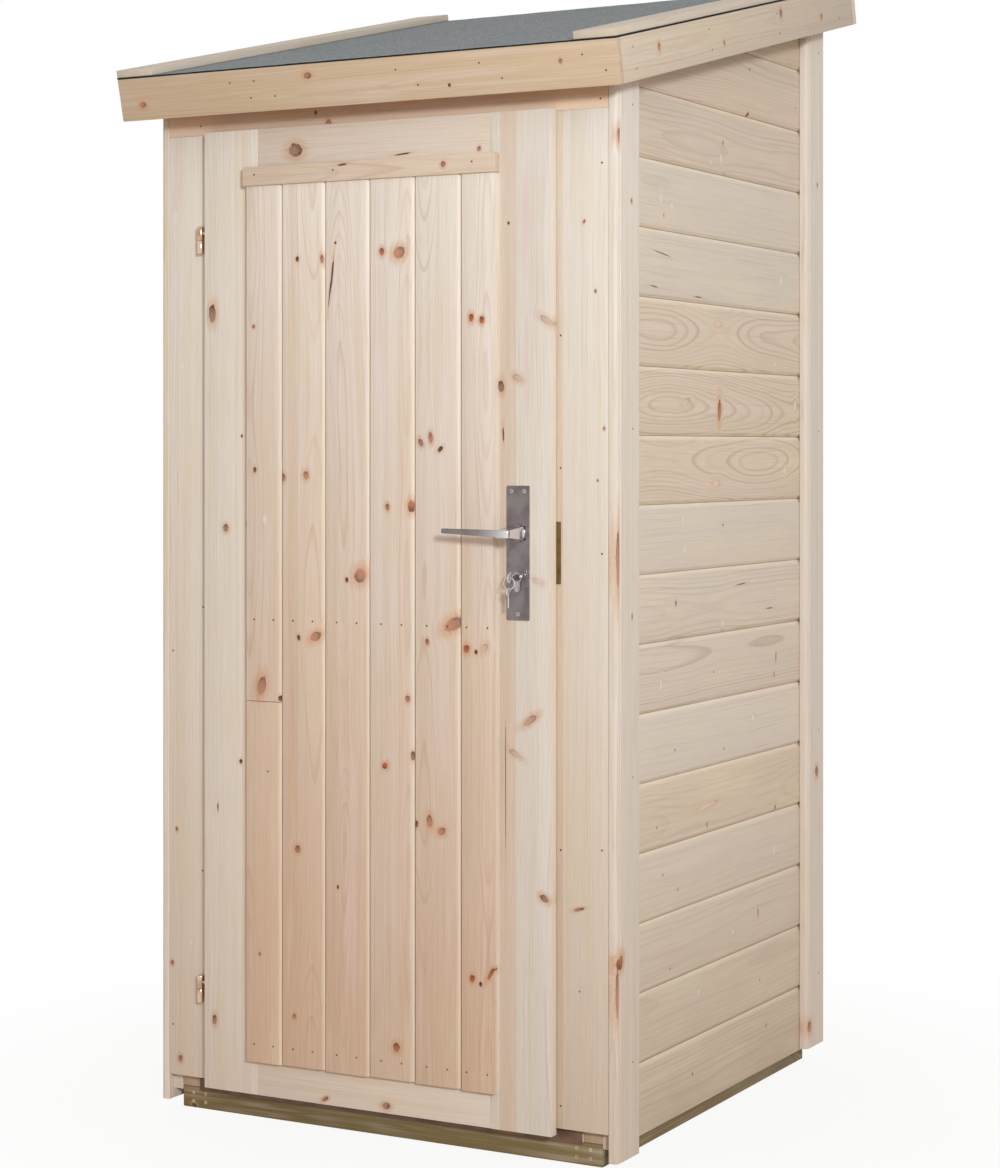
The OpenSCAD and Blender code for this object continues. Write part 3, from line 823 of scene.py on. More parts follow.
def walls():
    wall("wall_right", RIGHT_LEVEL, RIGHT_CUTS, RIGHT_KNOTS)
    wall("wall_left", LEFT_LEVEL, [], [])
    wall("wall_back", BACK_LEVEL, [], [])
    # The front boards are painted darker towards their feet, a painted shade, and warmer there
    single("shed", "front_boards", "front_board_left", FRONT_UP,
           Cut(0.6, -0.09, 0.2, pith=(-70, 60), run=(-0.28, 0.06, 0.6), hue=0.04), [
               (-422, 500, 2.5, 1.4, 0.5), (-392, 300, 2.5, 1.2, -0.5),
               (-432, 260, 3, 1.3, 0.4), (-414, 90, 4, 1.3, 0.4),
               (-425, 1600, 4, 3, -0.4), (-410, 1330, 3, 2, -0.5)])
    single("shed", "front_boards", "front_board_right", FRONT_UP,
           Cut(0.66, -0.16, 0.2, (-40, 14, 0.35), (60, 70), (-0.32, 0.08, 0.45), 0.06), [
               (432, 1215, 1.8, 1.6, 0.5), (386, 425, 2.4, 3.5, 0.5, 15),
               (387, 290, 1.2, 1.2, 1), (416, 1440, 1.8, 1.6, 0.7),
               (395, 1555, 2, 1.4, 0.5, 60), (420, 1130, 1.6, 1.3, 0.7)])
    # The header's upper half carries a painted warm shadow, as under the fascia
    single("shed", "front_boards", "header_board", FRONT_LEVEL,
           Cut(0.9, 0.06, 0.3, pith=(20, 40), amber=1),
           [(-127, 1766, 2.5, 1.2, 1), (-101, 1746, 5)], suffix="ing", under_roof=True)


# ---- Corner trims ----

TRIM_ROUND = 8
TRIM_INNER_ROUND = 1.8
QUIRK = 11
QUIRK_HALF = 2.1


def trim_shape(side):
    """A trim whose front edge, on its low side of X if side is 1, is rounded behind a quirk."""
    def shape(bm, width, thick, length):
        edge = -side * width / 2
        quirk = edge + side * QUIRK
        half = side * QUIRK_HALF
        drawn(bm, [(edge, 0), (quirk - half, 0), (quirk, QUIRK_HALF), (quirk + half, 0),
                   (-edge, 0), (-edge, thick), (edge, thick)], length)
        upright = [e for e in bm.edges if all(abs(v.co.x - edge) < TOUCH for v in e.verts)]
        corner = [e for e in upright if all(v.co.y < TOUCH for v in e.verts)]
        inner = [e for e in upright if all(v.co.y > thick - TOUCH for v in e.verts)]
        ease(bm, corner, TRIM_ROUND, 6)
        ease(bm, inner, TRIM_INNER_ROUND, 1)
    return shape


def trims():
    knots = {
        "front_right": [
            (-447, 1694, 3, 4, 0), (-442, 342, 8, 1.4, 0.2, 250), (-400, 1590, 2.5, 1.3, 0.6),
            (-449, 1000, 2.5, 18, 0), (-450, 290, 2, 20, 0), (-398, 905, 2, 2, 0.5)],
        "back_right": [(420, 560, 6, 1.5, 0.5), (424, 1690, 2, 2, 0.7), (384, 75, 7, 1.4)],
    }
    # The right trims are painted darker towards their feet, a painted shade, and warmer there
    cuts = {
        "front_right": Cut(0.45, -0.17, 0.25, (-36, 5, 0.1), (50, 40), (-0.24, 0.08, 0.8), -0.04),
        "back_right": Cut(0.35, -0.13, 0.3, (-41, 3, 0.1), (-50, 30), (-0.1, 0.045, 0.6), -0.04),
    }
    for end in ("front", "back"):
        for side, lay, turn in (("left", LEFT_UP, -1), ("right", RIGHT_UP, 1)):
            corner = f"{end}_{side}"
            single("shed", "trim_wood", f"corner_trim_{corner}", lay, cuts.get(corner),
                   knots.get(corner), shape=trim_shape(turn), edge=0, under_roof=True)


# ---- Roof ----

def roof():
    low, high = DECK_LOW, DECK_HIGH
    joinery = Joinery("roof_deck_boards", "floor_boards")
    boards = 10
    section = tongued(0.8, 0.8, 1.5, 1.5)
    run = (high.y - low.y) / boards
    for i in range(boards):
        y = low.y + i * run
        joinery.board((low.x, y, low.z), (high.x, y + run, high.z), FLAT_ACROSS, section=section,
                      where=ROOF, edge=0)
    joinery.finish("shed", "roof_deck")

    fascias = {
        "front": (FRONT_LEVEL, Cut(0.7, -0.05, 0.4, pith=(10, 30)), [
            (-445, -48, 5, 1.2, 0, 0), (-95, -20, 5, 1.4, 0.5, 0), (180, -55, 2.5, 1.2, 1),
            (390, -30, 3, 1.2, 0.5)]),
        "right": (RIGHT_LEVEL, Cut(0.3, -0.13, 0.3, pith=(-6, 60), run=(0, -0.03, 0.7)), [
            (160, -30, 4, 1.5), (430, -50, 3), (700, -22, 5, 1.3, 0.5), (900, -45, 4)]),
        "left": (LEFT_LEVEL, None, None),
        "back": (BACK_LEVEL, None, None),
    }
    for side, (lay, cut, knots) in fascias.items():
        single("shed", "fascia_wood", f"fascia_{side}", lay, cut, knots, where=ROOF, edge=1.5)
    for side in ("left", "right"):
        single("shed", "fascia_wood", f"roof_strip_{side}", FLAT_BACK,
               Cut(0.1, -0.17, 0.3, pith=(10, 40)), where=ROOF, edge=1.5, per_metre=2, biggest=3)


def felt_sheet():
    """The felt: slightly uneven on top, flat below, its cut edges marked."""
    low, high = roof_span("roof_felt")
    unevenness = 0.5
    bm = bmesh.new()
    cut_edge = bm.verts.layers.float.new("cut_edge")
    bmesh.ops.create_grid(bm, x_segments=60, y_segments=66, size=0.5)
    bmesh.ops.scale(bm, vec=(high.x - low.x, high.y - low.y, 1), verts=bm.verts)
    rng = random.Random("felt")
    for vert in bm.verts:
        inside = high.x - abs(vert.co.x) > 1
        vert.co.z = -rng.uniform(0, unevenness) if inside else 0
    for vert in pushed(bm, bm.faces[:], (0, 0, low.z - high.z)):
        vert.co.z = low.z - high.z
        vert[cut_edge] = 1
    moved(bm, ROOF @ Matrix.Translation((0, (low.y + high.y) / 2, high.z)))
    piece(bm, "felt_sheet", "shed", "roofing_felt", "roof_felt")


# ---- Door ----

# Where the panel's boards meet, and the height at which its first is joined end to end
JOINTS = (-177.5, -88.25, 1, 90.25, 179.5)
SCARF = 741
# How far each panel board's foot is short of the panel's lowest
PANEL_FEET = (0, 1.5, 0.5, 2, 1, 0)
PANEL_KNOTS = [
    [(-235, 1395, 2.5, 1.2, 0.3), (-232, 1145, 3, 1.6, 0.8), (-218, 768, 8, 1.9, 0, 78),
     (-180, 748, 3, 1.5, 1), (-205, 620, 1.4, 1, 1), (-212, 1060, 4, 2.2, -0.5),
     (-222, 300, 2, 1.4, 0.5)],
    [(-144, 1510, 3, 1.5, 1), (-94, 1508, 2.6, 2.6, 0.3, 95), (-126, 1136, 5, 1.3),
     (-173, 1132, 4, 1.4, 0.5), (-107, 858, 7, 1.6, 0, 30), (-141, 855, 3, 1.5, 0.9, 95),
     (-143, 489, 5, 1.2, 0.3), (-150, 199, 3.5, 1.2)],
    [(-66, 1535, 1.8, 1.2, 1), (-73, 1479, 1.6, 16, 0.9, 84), (-16, 966, 10, 1.15, 0, 240),
     (-43, 957, 3, 1.4, 0.9, 100), (-61, 430, 1.8, 2, 1), (-78, 1448, 1, 22, 1, 84)],
    [(27, 1517, 4.5, 1.3, 0.2), (61, 1514, 9, 1.2, 0, 20), (38, 1083, 3.5, 1.5, 0.3, 95),
     (84, 1085, 5, 1.8, 0.2, 270), (78, 759, 4, 1.3, 0.6), (33, 644, 4.5, 1.2, 0.1, 250),
     (87, 663, 2.5, 3, 0.7), (56, 168, 6, 1.2, 0.2)],
    [(104, 1192, 4, 1.6, 0.5, 120), (123, 1200, 4, 2, 0, 95), (141, 1181, 3.5, 1.6, 1, 40),
     (116, 857, 3.2, 1.5, 0.3, 95), (166, 888, 9, 1.9, 0, 30), (121, 555, 5, 1.9, 0, 95),
     (144, 540, 5.5, 1.3, 0, 30), (95, 549, 3, 1.8, 0.8, 85)],
    [(201, 1400, 4, 1.6, 0.1), (221, 1396, 4.5, 1.2, 0.1), (192, 848, 5, 1.3, 0.1, 80),
     (210, 843, 3, 1.2, 1), (226, 850, 5, 1.5, -0.1, 60), (203, 299, 4.5, 1.3, 0.1),
     (219, 291, 3, 1.2, 1), (238, 310, 3, 3.4, 0.2, 60)],
]
# The panel boards are painted darker towards their feet, a painted shade, and warmer there
PANEL_CUTS = [
    Cut(0.62, -0.09, 0.4, pith=(-30, 40), run=(-0.4, 0.07, 0.8)),
    Cut(1.0, -0.12, 0.6, (-20, 10, 0.12), (20, 44), (-0.55, 0.08, 0.8)),
    Cut(0.97, -0.12, 0.8, pith=(-10, 40), run=(-0.5, 0.07, 0.8)),
    Cut(0.78, -0.12, 0.4, (25, 10, 0.14), (30, 40), (-0.42, 0.075, 0.7)),
    Cut(0.9, -0.13, 0.5, pith=(-24, 40), run=(-0.5, 0.075, 0.8)),
    Cut(0.95, -0.135, 0.4, pith=(20, 34), run=(-0.52, 0.07, 0.8)),
]


def panel_sides():
    """The left and right side of each of the panel's boards."""
    low, high = span("door_panel")
    lines = (low.x, *JOINTS, high.x)
    return list(zip(lines, lines[1:]))


def door():
    # The stiles are painted darker towards their feet, a painted shade, and warmer there
    single("door", "door_frame_wood", "door_stile_left", FRONT_UP,
           Cut(0.42, -0.06, 0.3, (33, 9, 0.25), (-60, 60), (-0.14, 0.02, 0.7), 0.02), [
               (-331, 1420, 6.5, 2.2, 0.5), (-302, 1042, 5, 1.3, 0.5),
               (-268, 1204, 2, 1.2, 1), (-258, 1049, 1.2, 5, 1), (-270, 632, 3, 1.3, 1),
               (-319, 549, 1.2, 5, 1), (-326, 172, 4, 2, 0.5)])
    # The right stile's side face, on +X, is painted pale, a painted highlight
    single("door", "door_frame_wood", "door_stile_right", FRONT_UP,
           Cut(0.34, -0.155, 0.3, (-24, 15, 0.4), (70, 70), (-0.12, 0.045, 0.6), -0.02), [
               (336, 1393, 5, 2.4, -0.1, 145), (282, 1299, 5, 1.8, -0.1, 150),
               (251, 1285, 5, 1.8, 0.7, 95), (255, 1206, 1.3, 9, 1, 92), (305, 733, 5, 2.8, -0.05, 35),
               (278, 676, 4, 3, -0.1, 150), (332, 441, 5, 1.6, 0.5, 150),
               (320, 963, 4, 2.4, -0.14, 160), (265, 1556, 2, 1.2, 1),
               (259.5, 620, 0.6, 160, 1)],
           shape=pierced_stile, eased=outer_arris, crest=0.6)
    single("door", "door_frame_wood", "door_rail_top", FRONT_LEVEL,
           Cut(0.5, -0.07, 0.5, pith=(10, 50), run=(0, 0, 0.7)), [
               (-156, 1700, 10, 1.25, 0.5, 0), (-160, 1708, 4, 1.2, 0.7),
               (60, 1682, 1.2, 12, 1, 5), (209, 1683, 3, 1.2, 0.5)])
    single("door", "door_frame_wood", "door_rail_bottom", FRONT_LEVEL,
           Cut(0.5, -0.06, 0.3, pith=(-10, 60), run=(0, 0, 0.5)),
           [(28, 63, 5, 1.4, 0.5, 0), (-95, 60, 3, 2, 0.3, 30)])

    low, high = span("door_panel")
    joinery = Joinery("door_panel_boards", "door_panel_wood")
    for i, (left, right) in enumerate(panel_sides()):
        section = tongued(3, 4.5, 6, 4, head=i > 0, foot=i < len(JOINTS), gap=0.9)
        foot = low.z + PANEL_FEET[i]
        runs = [(foot, high.z, PANEL_CUTS[i])]
        if i == 0:
            runs = [(foot, SCARF, PANEL_CUTS[i]._replace(heart=0.95)),
                    (SCARF + 1, high.z, PANEL_CUTS[i])]
        for bottom, top, cut in runs:
            # Each panel board's chamfer on the +X side is painted pale, a painted highlight
            joinery.board((left, low.y, bottom), (right, high.y, top), FRONT_UP, cut, PANEL_KNOTS[i],
                          section=section, edge=0.8, eased=on_face, crest=0.7)
    joinery.finish("door", "door_panel")
    single("door", "door_panel_wood", "drip_batten", FRONT_LEVEL,
           Cut(0.6, -0.08, 0.3, pith=(4, 50), run=(0, 0, 0.9), hue=0.12),
           [(150, 1658, 4, 1.2, 0.5), (-50, 1668, 1.5, 6, 1, 5)], edge=1.5)

    low, high = span("door_ledges")
    ledge = 95
    joinery = Joinery("door_ledge_boards", "door_frame_wood")
    for z in levels("door_ledges")[::2]:
        joinery.board((low.x, low.y, z), (high.x, high.y, z + ledge), BACK_LEVEL, edge=3)
    joinery.finish("door", "door_ledges")


# ---- Lock ----

LOCK_X = 284
LEVER_Z = 1042
CYLINDER_Z = 969
SPINDLE = 8.0
BORE = SPINDLE + 3
# The radius of the lock cylinder's round, the width of its lobe and its height, and
# the same for the slots in the face plates and in the wood and the case
BARREL = (8.5, 10, 33)
PLATE_SLOT = (8.7, 10.4, 33.2)
WIDE_SLOT = (9.5, 12, 35)
# How deep the plug and the bore that it turns in go
PLUG_DEEP = 19
# How much polish and painted glint the lever's rose and the plug's face get
DULL = 0.5

ROSE = 14.5
ROSE_THICK = 4
NECK_HALF = 12
GRIP_THICK = 8
GRIP_HALF = 6.5
GRIP_TIP = 4
GRIP_RISE = 4
LEVER_EASE = 1.6

PLUG = 6.45
PLUG_EASE = 0.5
KEY_THICK = 2.2
KEY_OUT = 22
KEY_BOW = 10
KEY_HOLE = 3
BLADE_HALF = 4
RING = 10
RING_WIRE = 0.9
SPARE_BOW = 8
# How far the ring's top is above the key's middle, and the spare's hole below its bow's top
KEY_HANG = 1.5
SPARE_HANG = 3.6
# The spare key's blade, (depth, height) below its bow, with the cuts along one side
BITTING = [(-2.5, -6.5), (-2.5, -26), (0.8, -26), (2.5, -24), (1.6, -22.5), (2.5, -21),
           (1.0, -19), (2.5, -17), (1.8, -15), (2.5, -13), (2.5, -6.5)]


def arc(x, z, radius, start, sweep, steps):
    angles = [start + sweep * i / steps for i in range(steps + 1)]
    return [(x + radius * math.cos(a), z + radius * math.sin(a)) for a in angles]


def circle_outline(x, z, radius, steps=32):
    return arc(x, z, radius, 0, math.tau, steps)[:-1]


def key_outline(x, z, radius, lobe, height):
    """A lock cylinder's outline: a round top over a straight lobe with a round foot."""
    side = math.asin(lobe / 2 / radius)
    top = arc(x, z, radius, side - QUARTER, math.tau - 2 * side, 16)
    return top + arc(x, z - height + radius + lobe / 2, lobe / 2, math.pi, math.pi, 4)


def pierced(bm, loops, y0, y1):
    """A plate from y0 to y1: the first loop of (x, z) points is its outline, the others its holes."""
    edges = []
    for loop in loops:
        verts = [bm.verts.new((x, y0, z)) for x, z in loop]
        edges += [bm.edges.new(pair) for pair in zip(verts, verts[1:] + verts[:1])]
    filled = bmesh.ops.triangle_fill(bm, use_beauty=True, use_dissolve=False, edges=edges)["geom"]
    pushed(bm, [g for g in filled if isinstance(g, bmesh.types.BMFace)], (0, y1 - y0, 0))


def pierced_stile(bm, width, thick, length):
    """The lock stile, bored for the spindle and the cylinder."""
    low, high = span("door_stile_right")
    x = LOCK_X - (low.x + high.x) / 2
    bore = circle_outline(x, LEVER_Z - low.z, BORE, 24)
    slot = key_outline(x, CYLINDER_Z - low.z, *WIDE_SLOT)
    pierced(bm, [box_outline(-width / 2, 0, width / 2, length), bore, slot], 0, thick)


def outer_arris(e):
    """Whether an edge is one of the stile's long outer ones."""
    return drop(e, 2) > 500 and drop(e, 0) < TOUCH


def rounded_plate(bm, low, high, holes, radius, edge):
    """A plate between two corners with rounded corners, holes and an eased rim."""
    def off(at, i):
        return min(abs(at[i] - low[i]), abs(at[i] - high[i]))

    pierced(bm, [box_outline(low.x, low.z, high.x, high.z), *holes], low.y, high.y)
    corners = [e for e in bm.edges if drop(e, 1) > 0.1
               and all(off(v.co, 0) < TOUCH and off(v.co, 2) < TOUCH for v in e.verts)]
    ease(bm, corners, radius, 4)
    near = radius + TOUCH
    rim = [e for e in sharp_edges(bm, CORNER) if drop(e, 1) < TOUCH
           and all(off(v.co, 0) < near or off(v.co, 2) < near for v in e.verts)]
    ease(bm, rim, edge)


def tapered(half_x, half_y, length, scale, rise=0):
    """A bar whose far end is narrowed, and raised towards +X."""
    bm = bmesh.new()
    drawn(bm, box_outline(-half_x, -half_y, half_x, half_y), length)
    tip = [v for v in bm.verts if v.co.z > length / 2]
    bmesh.ops.scale(bm, vec=scale, verts=tip)
    bmesh.ops.translate(bm, vec=(rise, 0, 0), verts=tip)
    return bm


def handle(front):
    """A lever: a round rose, a neck that tapers in height, and a grip that thins and rises."""
    low, high = span("lever_handles")
    plate_low, plate_high = span("lock_plates")
    wall_y = plate_low.y if front else plate_high.y
    out = -1 if front else 1
    reach = abs((low.y if front else high.y) - wall_y)
    half = GRIP_THICK / 2
    bm = turned([(CORE, 0.1), (ROSE, 0.1), (ROSE, ROSE_THICK - 1), (ROSE - 0.3, ROSE_THICK - 0.3),
                 (ROSE - 1, ROSE_THICK), (CORE, ROSE_THICK)], 48, (0, 0, 0), Y * out)
    neck = tapered(NECK_HALF, NECK_HALF, reach - half - ROSE_THICK, (1, GRIP_HALF / NECK_HALF, 1))
    ease(neck, [e for e in sharp_edges(neck) if drop(e, 2) > 1], LEVER_EASE, 3)
    moved(neck, facing(Y * out) @ Matrix.Translation((0, 0, ROSE_THICK)))
    absorb(bm, neck)
    grip = tapered(GRIP_HALF, half, LOCK_X - low.x + NECK_HALF, (GRIP_TIP / GRIP_HALF, 1, 1), GRIP_RISE)
    ease(grip, sharp_edges(grip), LEVER_EASE, 3)
    moved(grip, Matrix.Translation((NECK_HALF, out * (reach - half), 0)) @ lie(Z, Y).to_4x4())
    absorb(bm, grip)
    moved(bm, Matrix.Translation((LOCK_X, wall_y, LEVER_Z)))
    return bm


def lock():
    plate_low, plate_high = span("lock_plates")
    plate_thick = 2.5
    holes = [circle_outline(LOCK_X, LEVER_Z, SPINDLE + 0.1), key_outline(LOCK_X, CYLINDER_Z, *PLATE_SLOT)]
    bm = bmesh.new()
    for y in (plate_low.y, plate_high.y - plate_thick):
        plate = bmesh.new()
        rounded_plate(plate, Vector((plate_low.x, y, plate_low.z)),
                      Vector((plate_high.x, y + plate_thick, plate_high.z)), holes, 2.5, 1.1)
        absorb(bm, plate)

    # A painted highlight along the plates' outer edge
    def rim(at):
        inset = min(at.x - plate_low.x, plate_high.x - at.x, at.z - plate_low.z, plate_high.z - at.z)
        return 0.93 if inset < 0.2 else 0

    set_polish_and_glint(bm, rim)
    piece(bm, "lock_face_plates", "door", "handle_steel", "lock_plates")

    case_low, case_high = span("lock_case")
    bm = bmesh.new()
    wide_holes = [circle_outline(LOCK_X, LEVER_Z, BORE, 24), key_outline(LOCK_X, CYLINDER_Z, *WIDE_SLOT)]
    rounded_plate(bm, case_low, case_high, wide_holes, 3, 1)
    piece(bm, "lock_box", "door", "lock_case_steel", "lock_case")

    low, high = span("lock_cylinder")
    face = low.y
    bm = bmesh.new()
    outline = key_outline(LOCK_X, CYLINDER_Z, *BARREL)
    pierced(bm, [outline, circle_outline(LOCK_X, CYLINDER_Z, 6.6)], face, face + PLUG_DEEP)
    ease(bm, [e for e in sharp_edges(bm, CORNER) if all(v.co.y < face + TOUCH for v in e.verts)], 0.5)
    rear = bmesh.new()
    pierced(rear, [outline], face + PLUG_DEEP, high.y)
    absorb(bm, rear)
    # A painted bright ring at the barrel's face edge, the rest a little polished
    set_polish_and_glint(bm, lambda at: 1 if face + 0.1 < at.y < face + 0.6 else 0.8)
    piece(bm, "lock_barrel", "door", "handle_steel", "lock_cylinder")

    bm = handle(True)
    absorb(bm, handle(False))
    shank_end = plate_high.y - plate_low.y + 0.5
    absorb(bm, rod(SPINDLE - 0.05, -0.5, shank_end, 32, (LOCK_X, plate_low.y, LEVER_Z), Y))
    tip = span("lever_handles")[0].x
    hub = ROSE_THICK + 0.2

    # Painted glint: the lever brightens from its tip to its neck, duller at the rose
    def lever_glint(at):
        if plate_low.y - hub < at.y < plate_high.y + hub and at.x < LOCK_X + 8:
            return DULL
        return min(1, (at.x - tip) / (LOCK_X - NECK_HALF - tip))

    set_polish_and_glint(bm, lever_glint)
    piece(bm, "lever_pair", "lever", "handle_steel", "lever_handles")
    keys(face)

    spots = [(LOCK_X - 12, plate_high.z - 9), (LOCK_X + 12, plate_high.z - 9), (LOCK_X, plate_low.z + 10)]
    heads = [((x, plate_low.y, z), -Y) for x, z in spots]
    heads += [((x, plate_high.y, z), Y) for x, z in spots]
    heads += [((x, case_high.y, z), Y) for x in (case_low.x + 6, case_high.x - 6)
              for z in (case_low.z + 10, case_high.z - 10)]
    screws("lock_screws", "door", "lock_case_steel", 3.6, heads)


def bow(bm, at, radius, hole_at):
    """A key's flat bow across X, with the hole that its ring goes through."""
    blank = bmesh.new()
    half = KEY_THICK / 2
    pierced(blank, [circle_outline(0, 0, radius), circle_outline(*hole_at, KEY_HOLE, 20)], -half, half)
    ease(blank, sharp_edges(blank, CORNER), 0.4)
    moved(blank, Matrix.Translation(at) @ Matrix.Rotation(QUARTER, 4, "Z"))
    absorb(bm, blank)


def keys(face):
    """The plug with its key, and the ring that hangs from it with a spare."""
    bm = turned([(CORE, 0), (5.8, 0), (PLUG, PLUG_EASE), (PLUG, PLUG_DEEP), (CORE, PLUG_DEEP)], 32,
                (LOCK_X, face, CYLINDER_Z), Y)
    hole_off = 5
    bow_y = face - KEY_OUT
    hole_y = bow_y - hole_off
    ring_z = CYLINDER_Z + KEY_HANG - RING
    spare_z = ring_z - RING - SPARE_BOW + SPARE_HANG
    upright = Matrix.Rotation(QUARTER, 4, "X")
    bow(bm, (LOCK_X, bow_y, CYLINDER_Z), KEY_BOW, (-hole_off, 0))
    blade = bmesh.new()
    half = KEY_THICK / 2
    drawn(blade, box_outline(-half, -BLADE_HALF, half, BLADE_HALF), KEY_OUT - 7.5)
    moved(blade, Matrix.Translation((LOCK_X, face + 0.5, CYLINDER_Z)) @ upright)
    absorb(bm, blade)
    hoop = bmesh.new()
    bmesh.ops.create_circle(hoop, segments=10, radius=RING_WIRE)
    moved(hoop, Matrix.Translation((RING, 0, 0)) @ upright)
    spun(hoop, hoop.verts[:] + hoop.edges[:], 40)
    moved(hoop, Matrix.Translation((LOCK_X, hole_y, ring_z)) @ upright)
    absorb(bm, hoop)
    bow(bm, (LOCK_X, hole_y, spare_z), SPARE_BOW, (0, SPARE_BOW - SPARE_HANG))
    stem = bmesh.new()
    drawn(stem, BITTING, KEY_THICK)
    moved(stem, Matrix.Translation((LOCK_X - half, hole_y, spare_z)) @ lie(Y, Z).to_4x4())
    absorb(bm, stem)
    # The keys and ring are bright, partly their own polish and partly a painted glint
    set_polish_and_glint(bm, lambda at: 0.95 if at.y < face - 2 else DULL)
    piece(bm, "key_pair", "key", "handle_steel", "keys")


# ---- Hinges and strike plate ----

def hinges():
    low, high = span("hinge_frame_halves")
    barrel = 6.5
    half_high = 24
    pin = 3
    pin_top = half_high + 18
    arm = 3.5
    gap = 0.4
    axis = low + Vector((barrel, barrel, 0))
    heights = levels("hinge_frame_halves")
    upper = next(z for z in heights if z > heights[0] + 500)
    body = [(CORE, 0), (barrel - 1.6, 0), (barrel - 0.5, 0.5), (barrel, 1.6), (barrel, half_high - 1.2),
            (barrel - 0.4, half_high - 0.4), (barrel - 1.2, half_high)]
    bore = [(pin + 0.1, half_high), (pin + 0.1, 1), (CORE, 1)]
    pinned = [(pin, half_high), (pin, pin_top - 1), (pin - 0.8, pin_top), (CORE, pin_top)]
    frame_side = bmesh.new()
    door_side = bmesh.new()
    door_edge = span("door_stile_left")[0].x
    for z in (heights[0], upper):
        foot = Vector((axis.x, axis.y, z))
        head = foot + Z * (2 * half_high + gap)
        middle = Z * half_high / 2
        absorb(frame_side, turned(body + pinned, 40, foot, Z))
        absorb(frame_side, rod(arm, 0, high.y - axis.y, 24, foot + middle, Y))
        absorb(door_side, turned(body + bore, 40, head, -Z))
        absorb(door_side, rod(arm, 0, door_edge - axis.x, 24, head - middle, X))
    piece(frame_side, "hinge_pins", "shed", "hinge_brass", "hinge_frame_halves")
    piece(door_side, "hinge_caps", "door", "hinge_brass", "hinge_door_halves")


def strike():
    low, high = span("strike_plate")
    thick = 1.0
    bm = bmesh.new()
    drawn(bm, [(low.x, low.y), (high.x, low.y), (high.x, low.y + thick), (low.x + thick, low.y + thick),
               (low.x + thick, high.y), (low.x, high.y)], high.z - low.z)
    ease(bm, edges_at(bm, lambda at: at.x < low.x + TOUCH and at.y < low.y + TOUCH), 0.8, 3)
    moved(bm, Matrix.Translation((0, 0, low.z)))
    piece(bm, "strike_angle", "shed", "strike_metal", "strike_plate")


# ---- Nails and screws ----

NAIL = [(CORE, 0.3), (1.08, 0.255), (1.8, 0.06), (1.62, -0.8), (CORE, -0.8)]


def heads_piece(name, body, slot, profile, steps, heads):
    """Turned heads at (place, direction) pairs."""
    bm = bmesh.new()
    for place, way in heads:
        absorb(bm, turned(profile, steps, place, way))
    piece(bm, name, body, slot)


def nails(name, body, heads):
    heads_piece(name, body, "threshold_metal", NAIL, 10, heads)


def screws(name, body, slot, radius, heads):
    """Countersunk heads with a hollow in the middle."""
    profile = [(CORE, -0.9), (radius * 0.36, -0.8), (radius * 0.5, 0.25), (radius * 0.85, 0.1),
               (radius, -0.25), (radius * 0.8, -1.4), (CORE, -1.4)]
    heads_piece(name, body, slot, profile, 16, heads)


def on_roof(place, way):
    """A place and a direction given in the roof's own directions."""
    return ROOF @ Vector(place), ROOF_TURN @ way


def fixings():
    front_y = span("header_board")[0].y
    on_shed = [((x, front_y, z), -Y) for x, z in (
        (-370, 1757), (425, 1755), (352, 1369), (352, 1150), (352, 520), (352, 98), (-365, 1571),
        (-365, 900), (-366, 430), (428, 1650), (428, 1010), (428, 525), (-430, 820), (-430, 150))]
    trim_x = span("corner_trim_front_right")[1].x
    for side in (-1, 1):
        for end in ("front", "back"):
            high = span(f"corner_trim_{end}_right")[1]
            for z in (high.z - 110, 1215, 640, 170):
                on_shed.append(((side * trim_x, high.y - 24, z), X * side))
    y = roof_span("fascia_front")[0].y
    for x in (-255, -205, 80, 240, 430):
        on_shed += [on_roof((x, y, -22), -Y), on_roof((x + 40, y, -50), -Y)]
    high = roof_span("fascia_right")[1]
    for y in range(60, int(high.y), 310):
        for side in (-1, 1):
            on_shed += [on_roof((side * high.x, y, -20), X * side),
                        on_roof((side * high.x, y + 6, -56), X * side)]
    high = roof_span("roof_strip_right")[1]
    for y in range(30, int(high.y), 250):
        for side in (-1, 1):
            for inset in (20, 56):
                on_shed.append(on_roof((side * (high.x - inset), y, high.z), Z))
    nails("frame_nails", "shed", on_shed)

    panel_y = span("door_panel")[0].y
    on_door = [(((left + right) / 2 + off, panel_y, z), -Y)
               for left, right in panel_sides() for z in (884, 142) for off in (-20, 20)]
    batten_y = span("drip_batten")[0].y
    on_door += [((x, batten_y, 1660), -Y) for x in (-230, -68, 205)]
    nails("door_nails", "door", on_door)

    bearer_y = span("bearer_front")[0].y
    screws("bearer_screws", "shed", "hinge_brass", 3.2,
           [((x, bearer_y, z), -Y) for x in (-398, -372, 372, 398) for z in (12, 27)])


# ---- Camera, light and floor ----

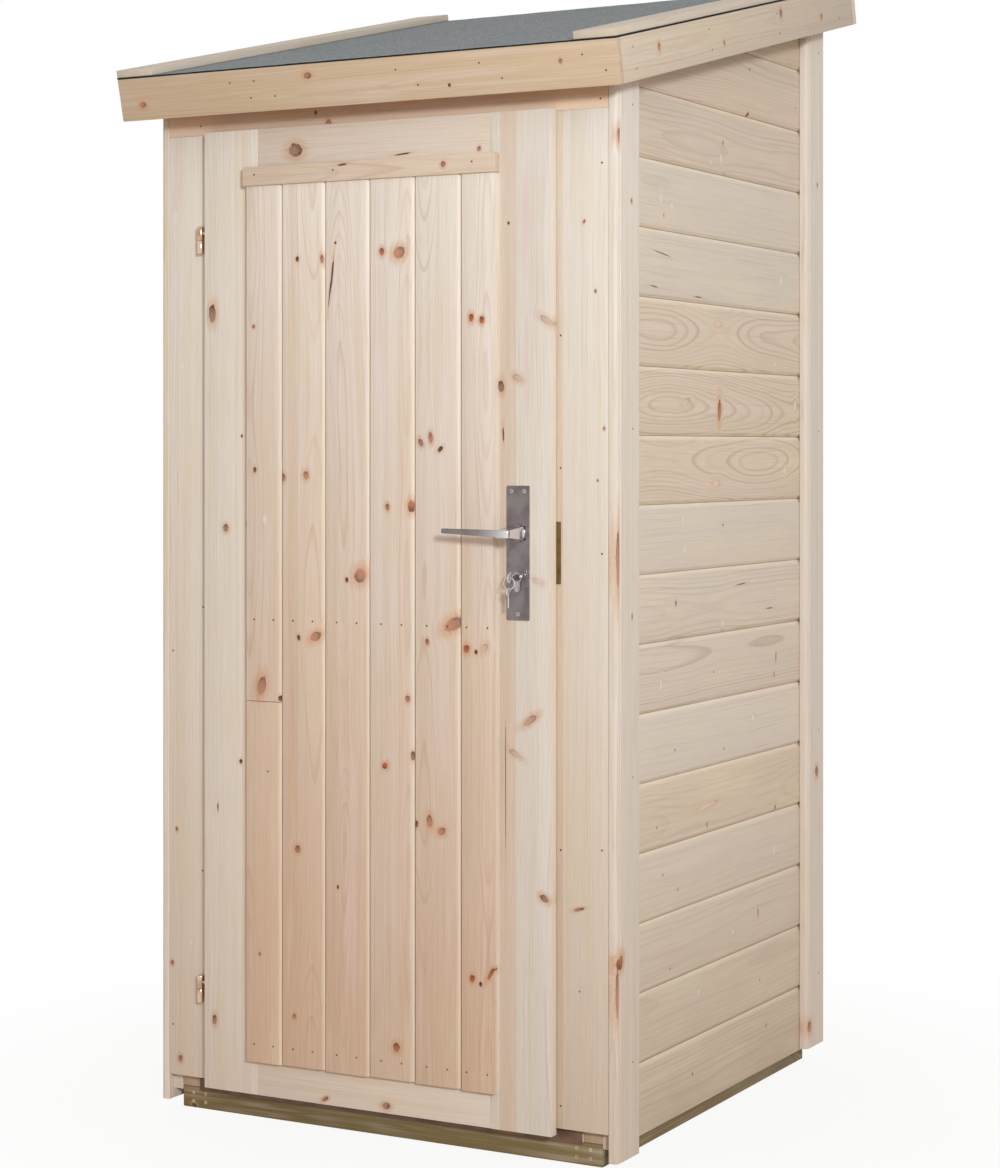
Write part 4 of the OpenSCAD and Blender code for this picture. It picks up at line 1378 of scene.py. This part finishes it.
def camera():
    data = bpy.data.cameras.new("camera")
    data.sensor_width = 36
    data.lens = 79.8
    data.shift_y = -0.116
    made = bpy.data.objects.new("camera", data)
    made.location = (2.30977, -4.25017, 1.18238)
    made.rotation_euler = (math.radians(90), 0, math.radians(28.62))
    SCENE.collection.objects.link(made)
    SCENE.camera = made


def lamp(name, place, target, size, power):
    data = bpy.data.lights.new(name, "AREA")
    data.shape = "DISK"
    data.size = size
    data.energy = power
    data.color = (0.9, 0.95, 1.0)
    made = bpy.data.objects.new(name, data)
    made.location = place
    made.rotation_euler = (Vector(target) - Vector(place)).to_track_quat("-Z", "Y").to_euler()
    SCENE.collection.objects.link(made)


def studio():
    """Soft light from all round, two lamps, and a floor that fades to white."""
    SCENE.world = bpy.data.worlds.new("studio")
    sky = Nodes(SCENE.world)
    glow = sky.node("Mix", {"data_type": "RGBA"},
                    {0: sky.rays(), 6: (0.635, 0.605, 0.575, 1), 7: (1, 1, 1, 1)}, 2)
    sky.tree.links.new(glow.socket, sky.tree.nodes["Background"].inputs[0])
    lamp("key", (4.0, -4.9, 2.5), (0, -0.4, 1.2), 0.8, 230)
    lamp("fill", (-4.4, 4.4, 2.5), (0, 0.4, 1.2), 1.6, 180)

    bm = bmesh.new()
    bmesh.ops.create_grid(bm, x_segments=1, y_segments=1, size=30)
    mesh = bpy.data.meshes.new("floor")
    bm.to_mesh(mesh)
    bm.free()
    made = bpy.data.objects.new("studio_floor", mesh)
    SCENE.collection.objects.link(made)
    paper = Nodes(bpy.data.materials.new("studio_floor"))
    mesh.materials.append(paper.owner)
    paper.tree.nodes.remove(paper.tree.nodes["Principled BSDF"])
    diffuse = paper.node("BsdfDiffuse", {}, {0: (0.6, 0.52, 0.44, 1)})
    white = paper.node("Emission", {}, {})
    distance = paper.node("VectorMath", {"operation": "LENGTH"}, {0: paper.place()}, 1)
    fade = paper.ramp(distance, 0.5, 1.5, 0.92, 1.0)
    both = paper.node("MixShader", {}, {0: fade * paper.rays(), 1: diffuse, 2: white})
    paper.tree.links.new(both.socket, paper.tree.nodes["Material Output"].inputs[0])
    SCENE.view_settings.view_transform = "Standard"


camera()
studio()
bearers()
floor()
threshold()
posts_and_rails()
walls()
trims()
roof()
felt_sheet()
door()
lock()
hinges()
strike()
fixings()
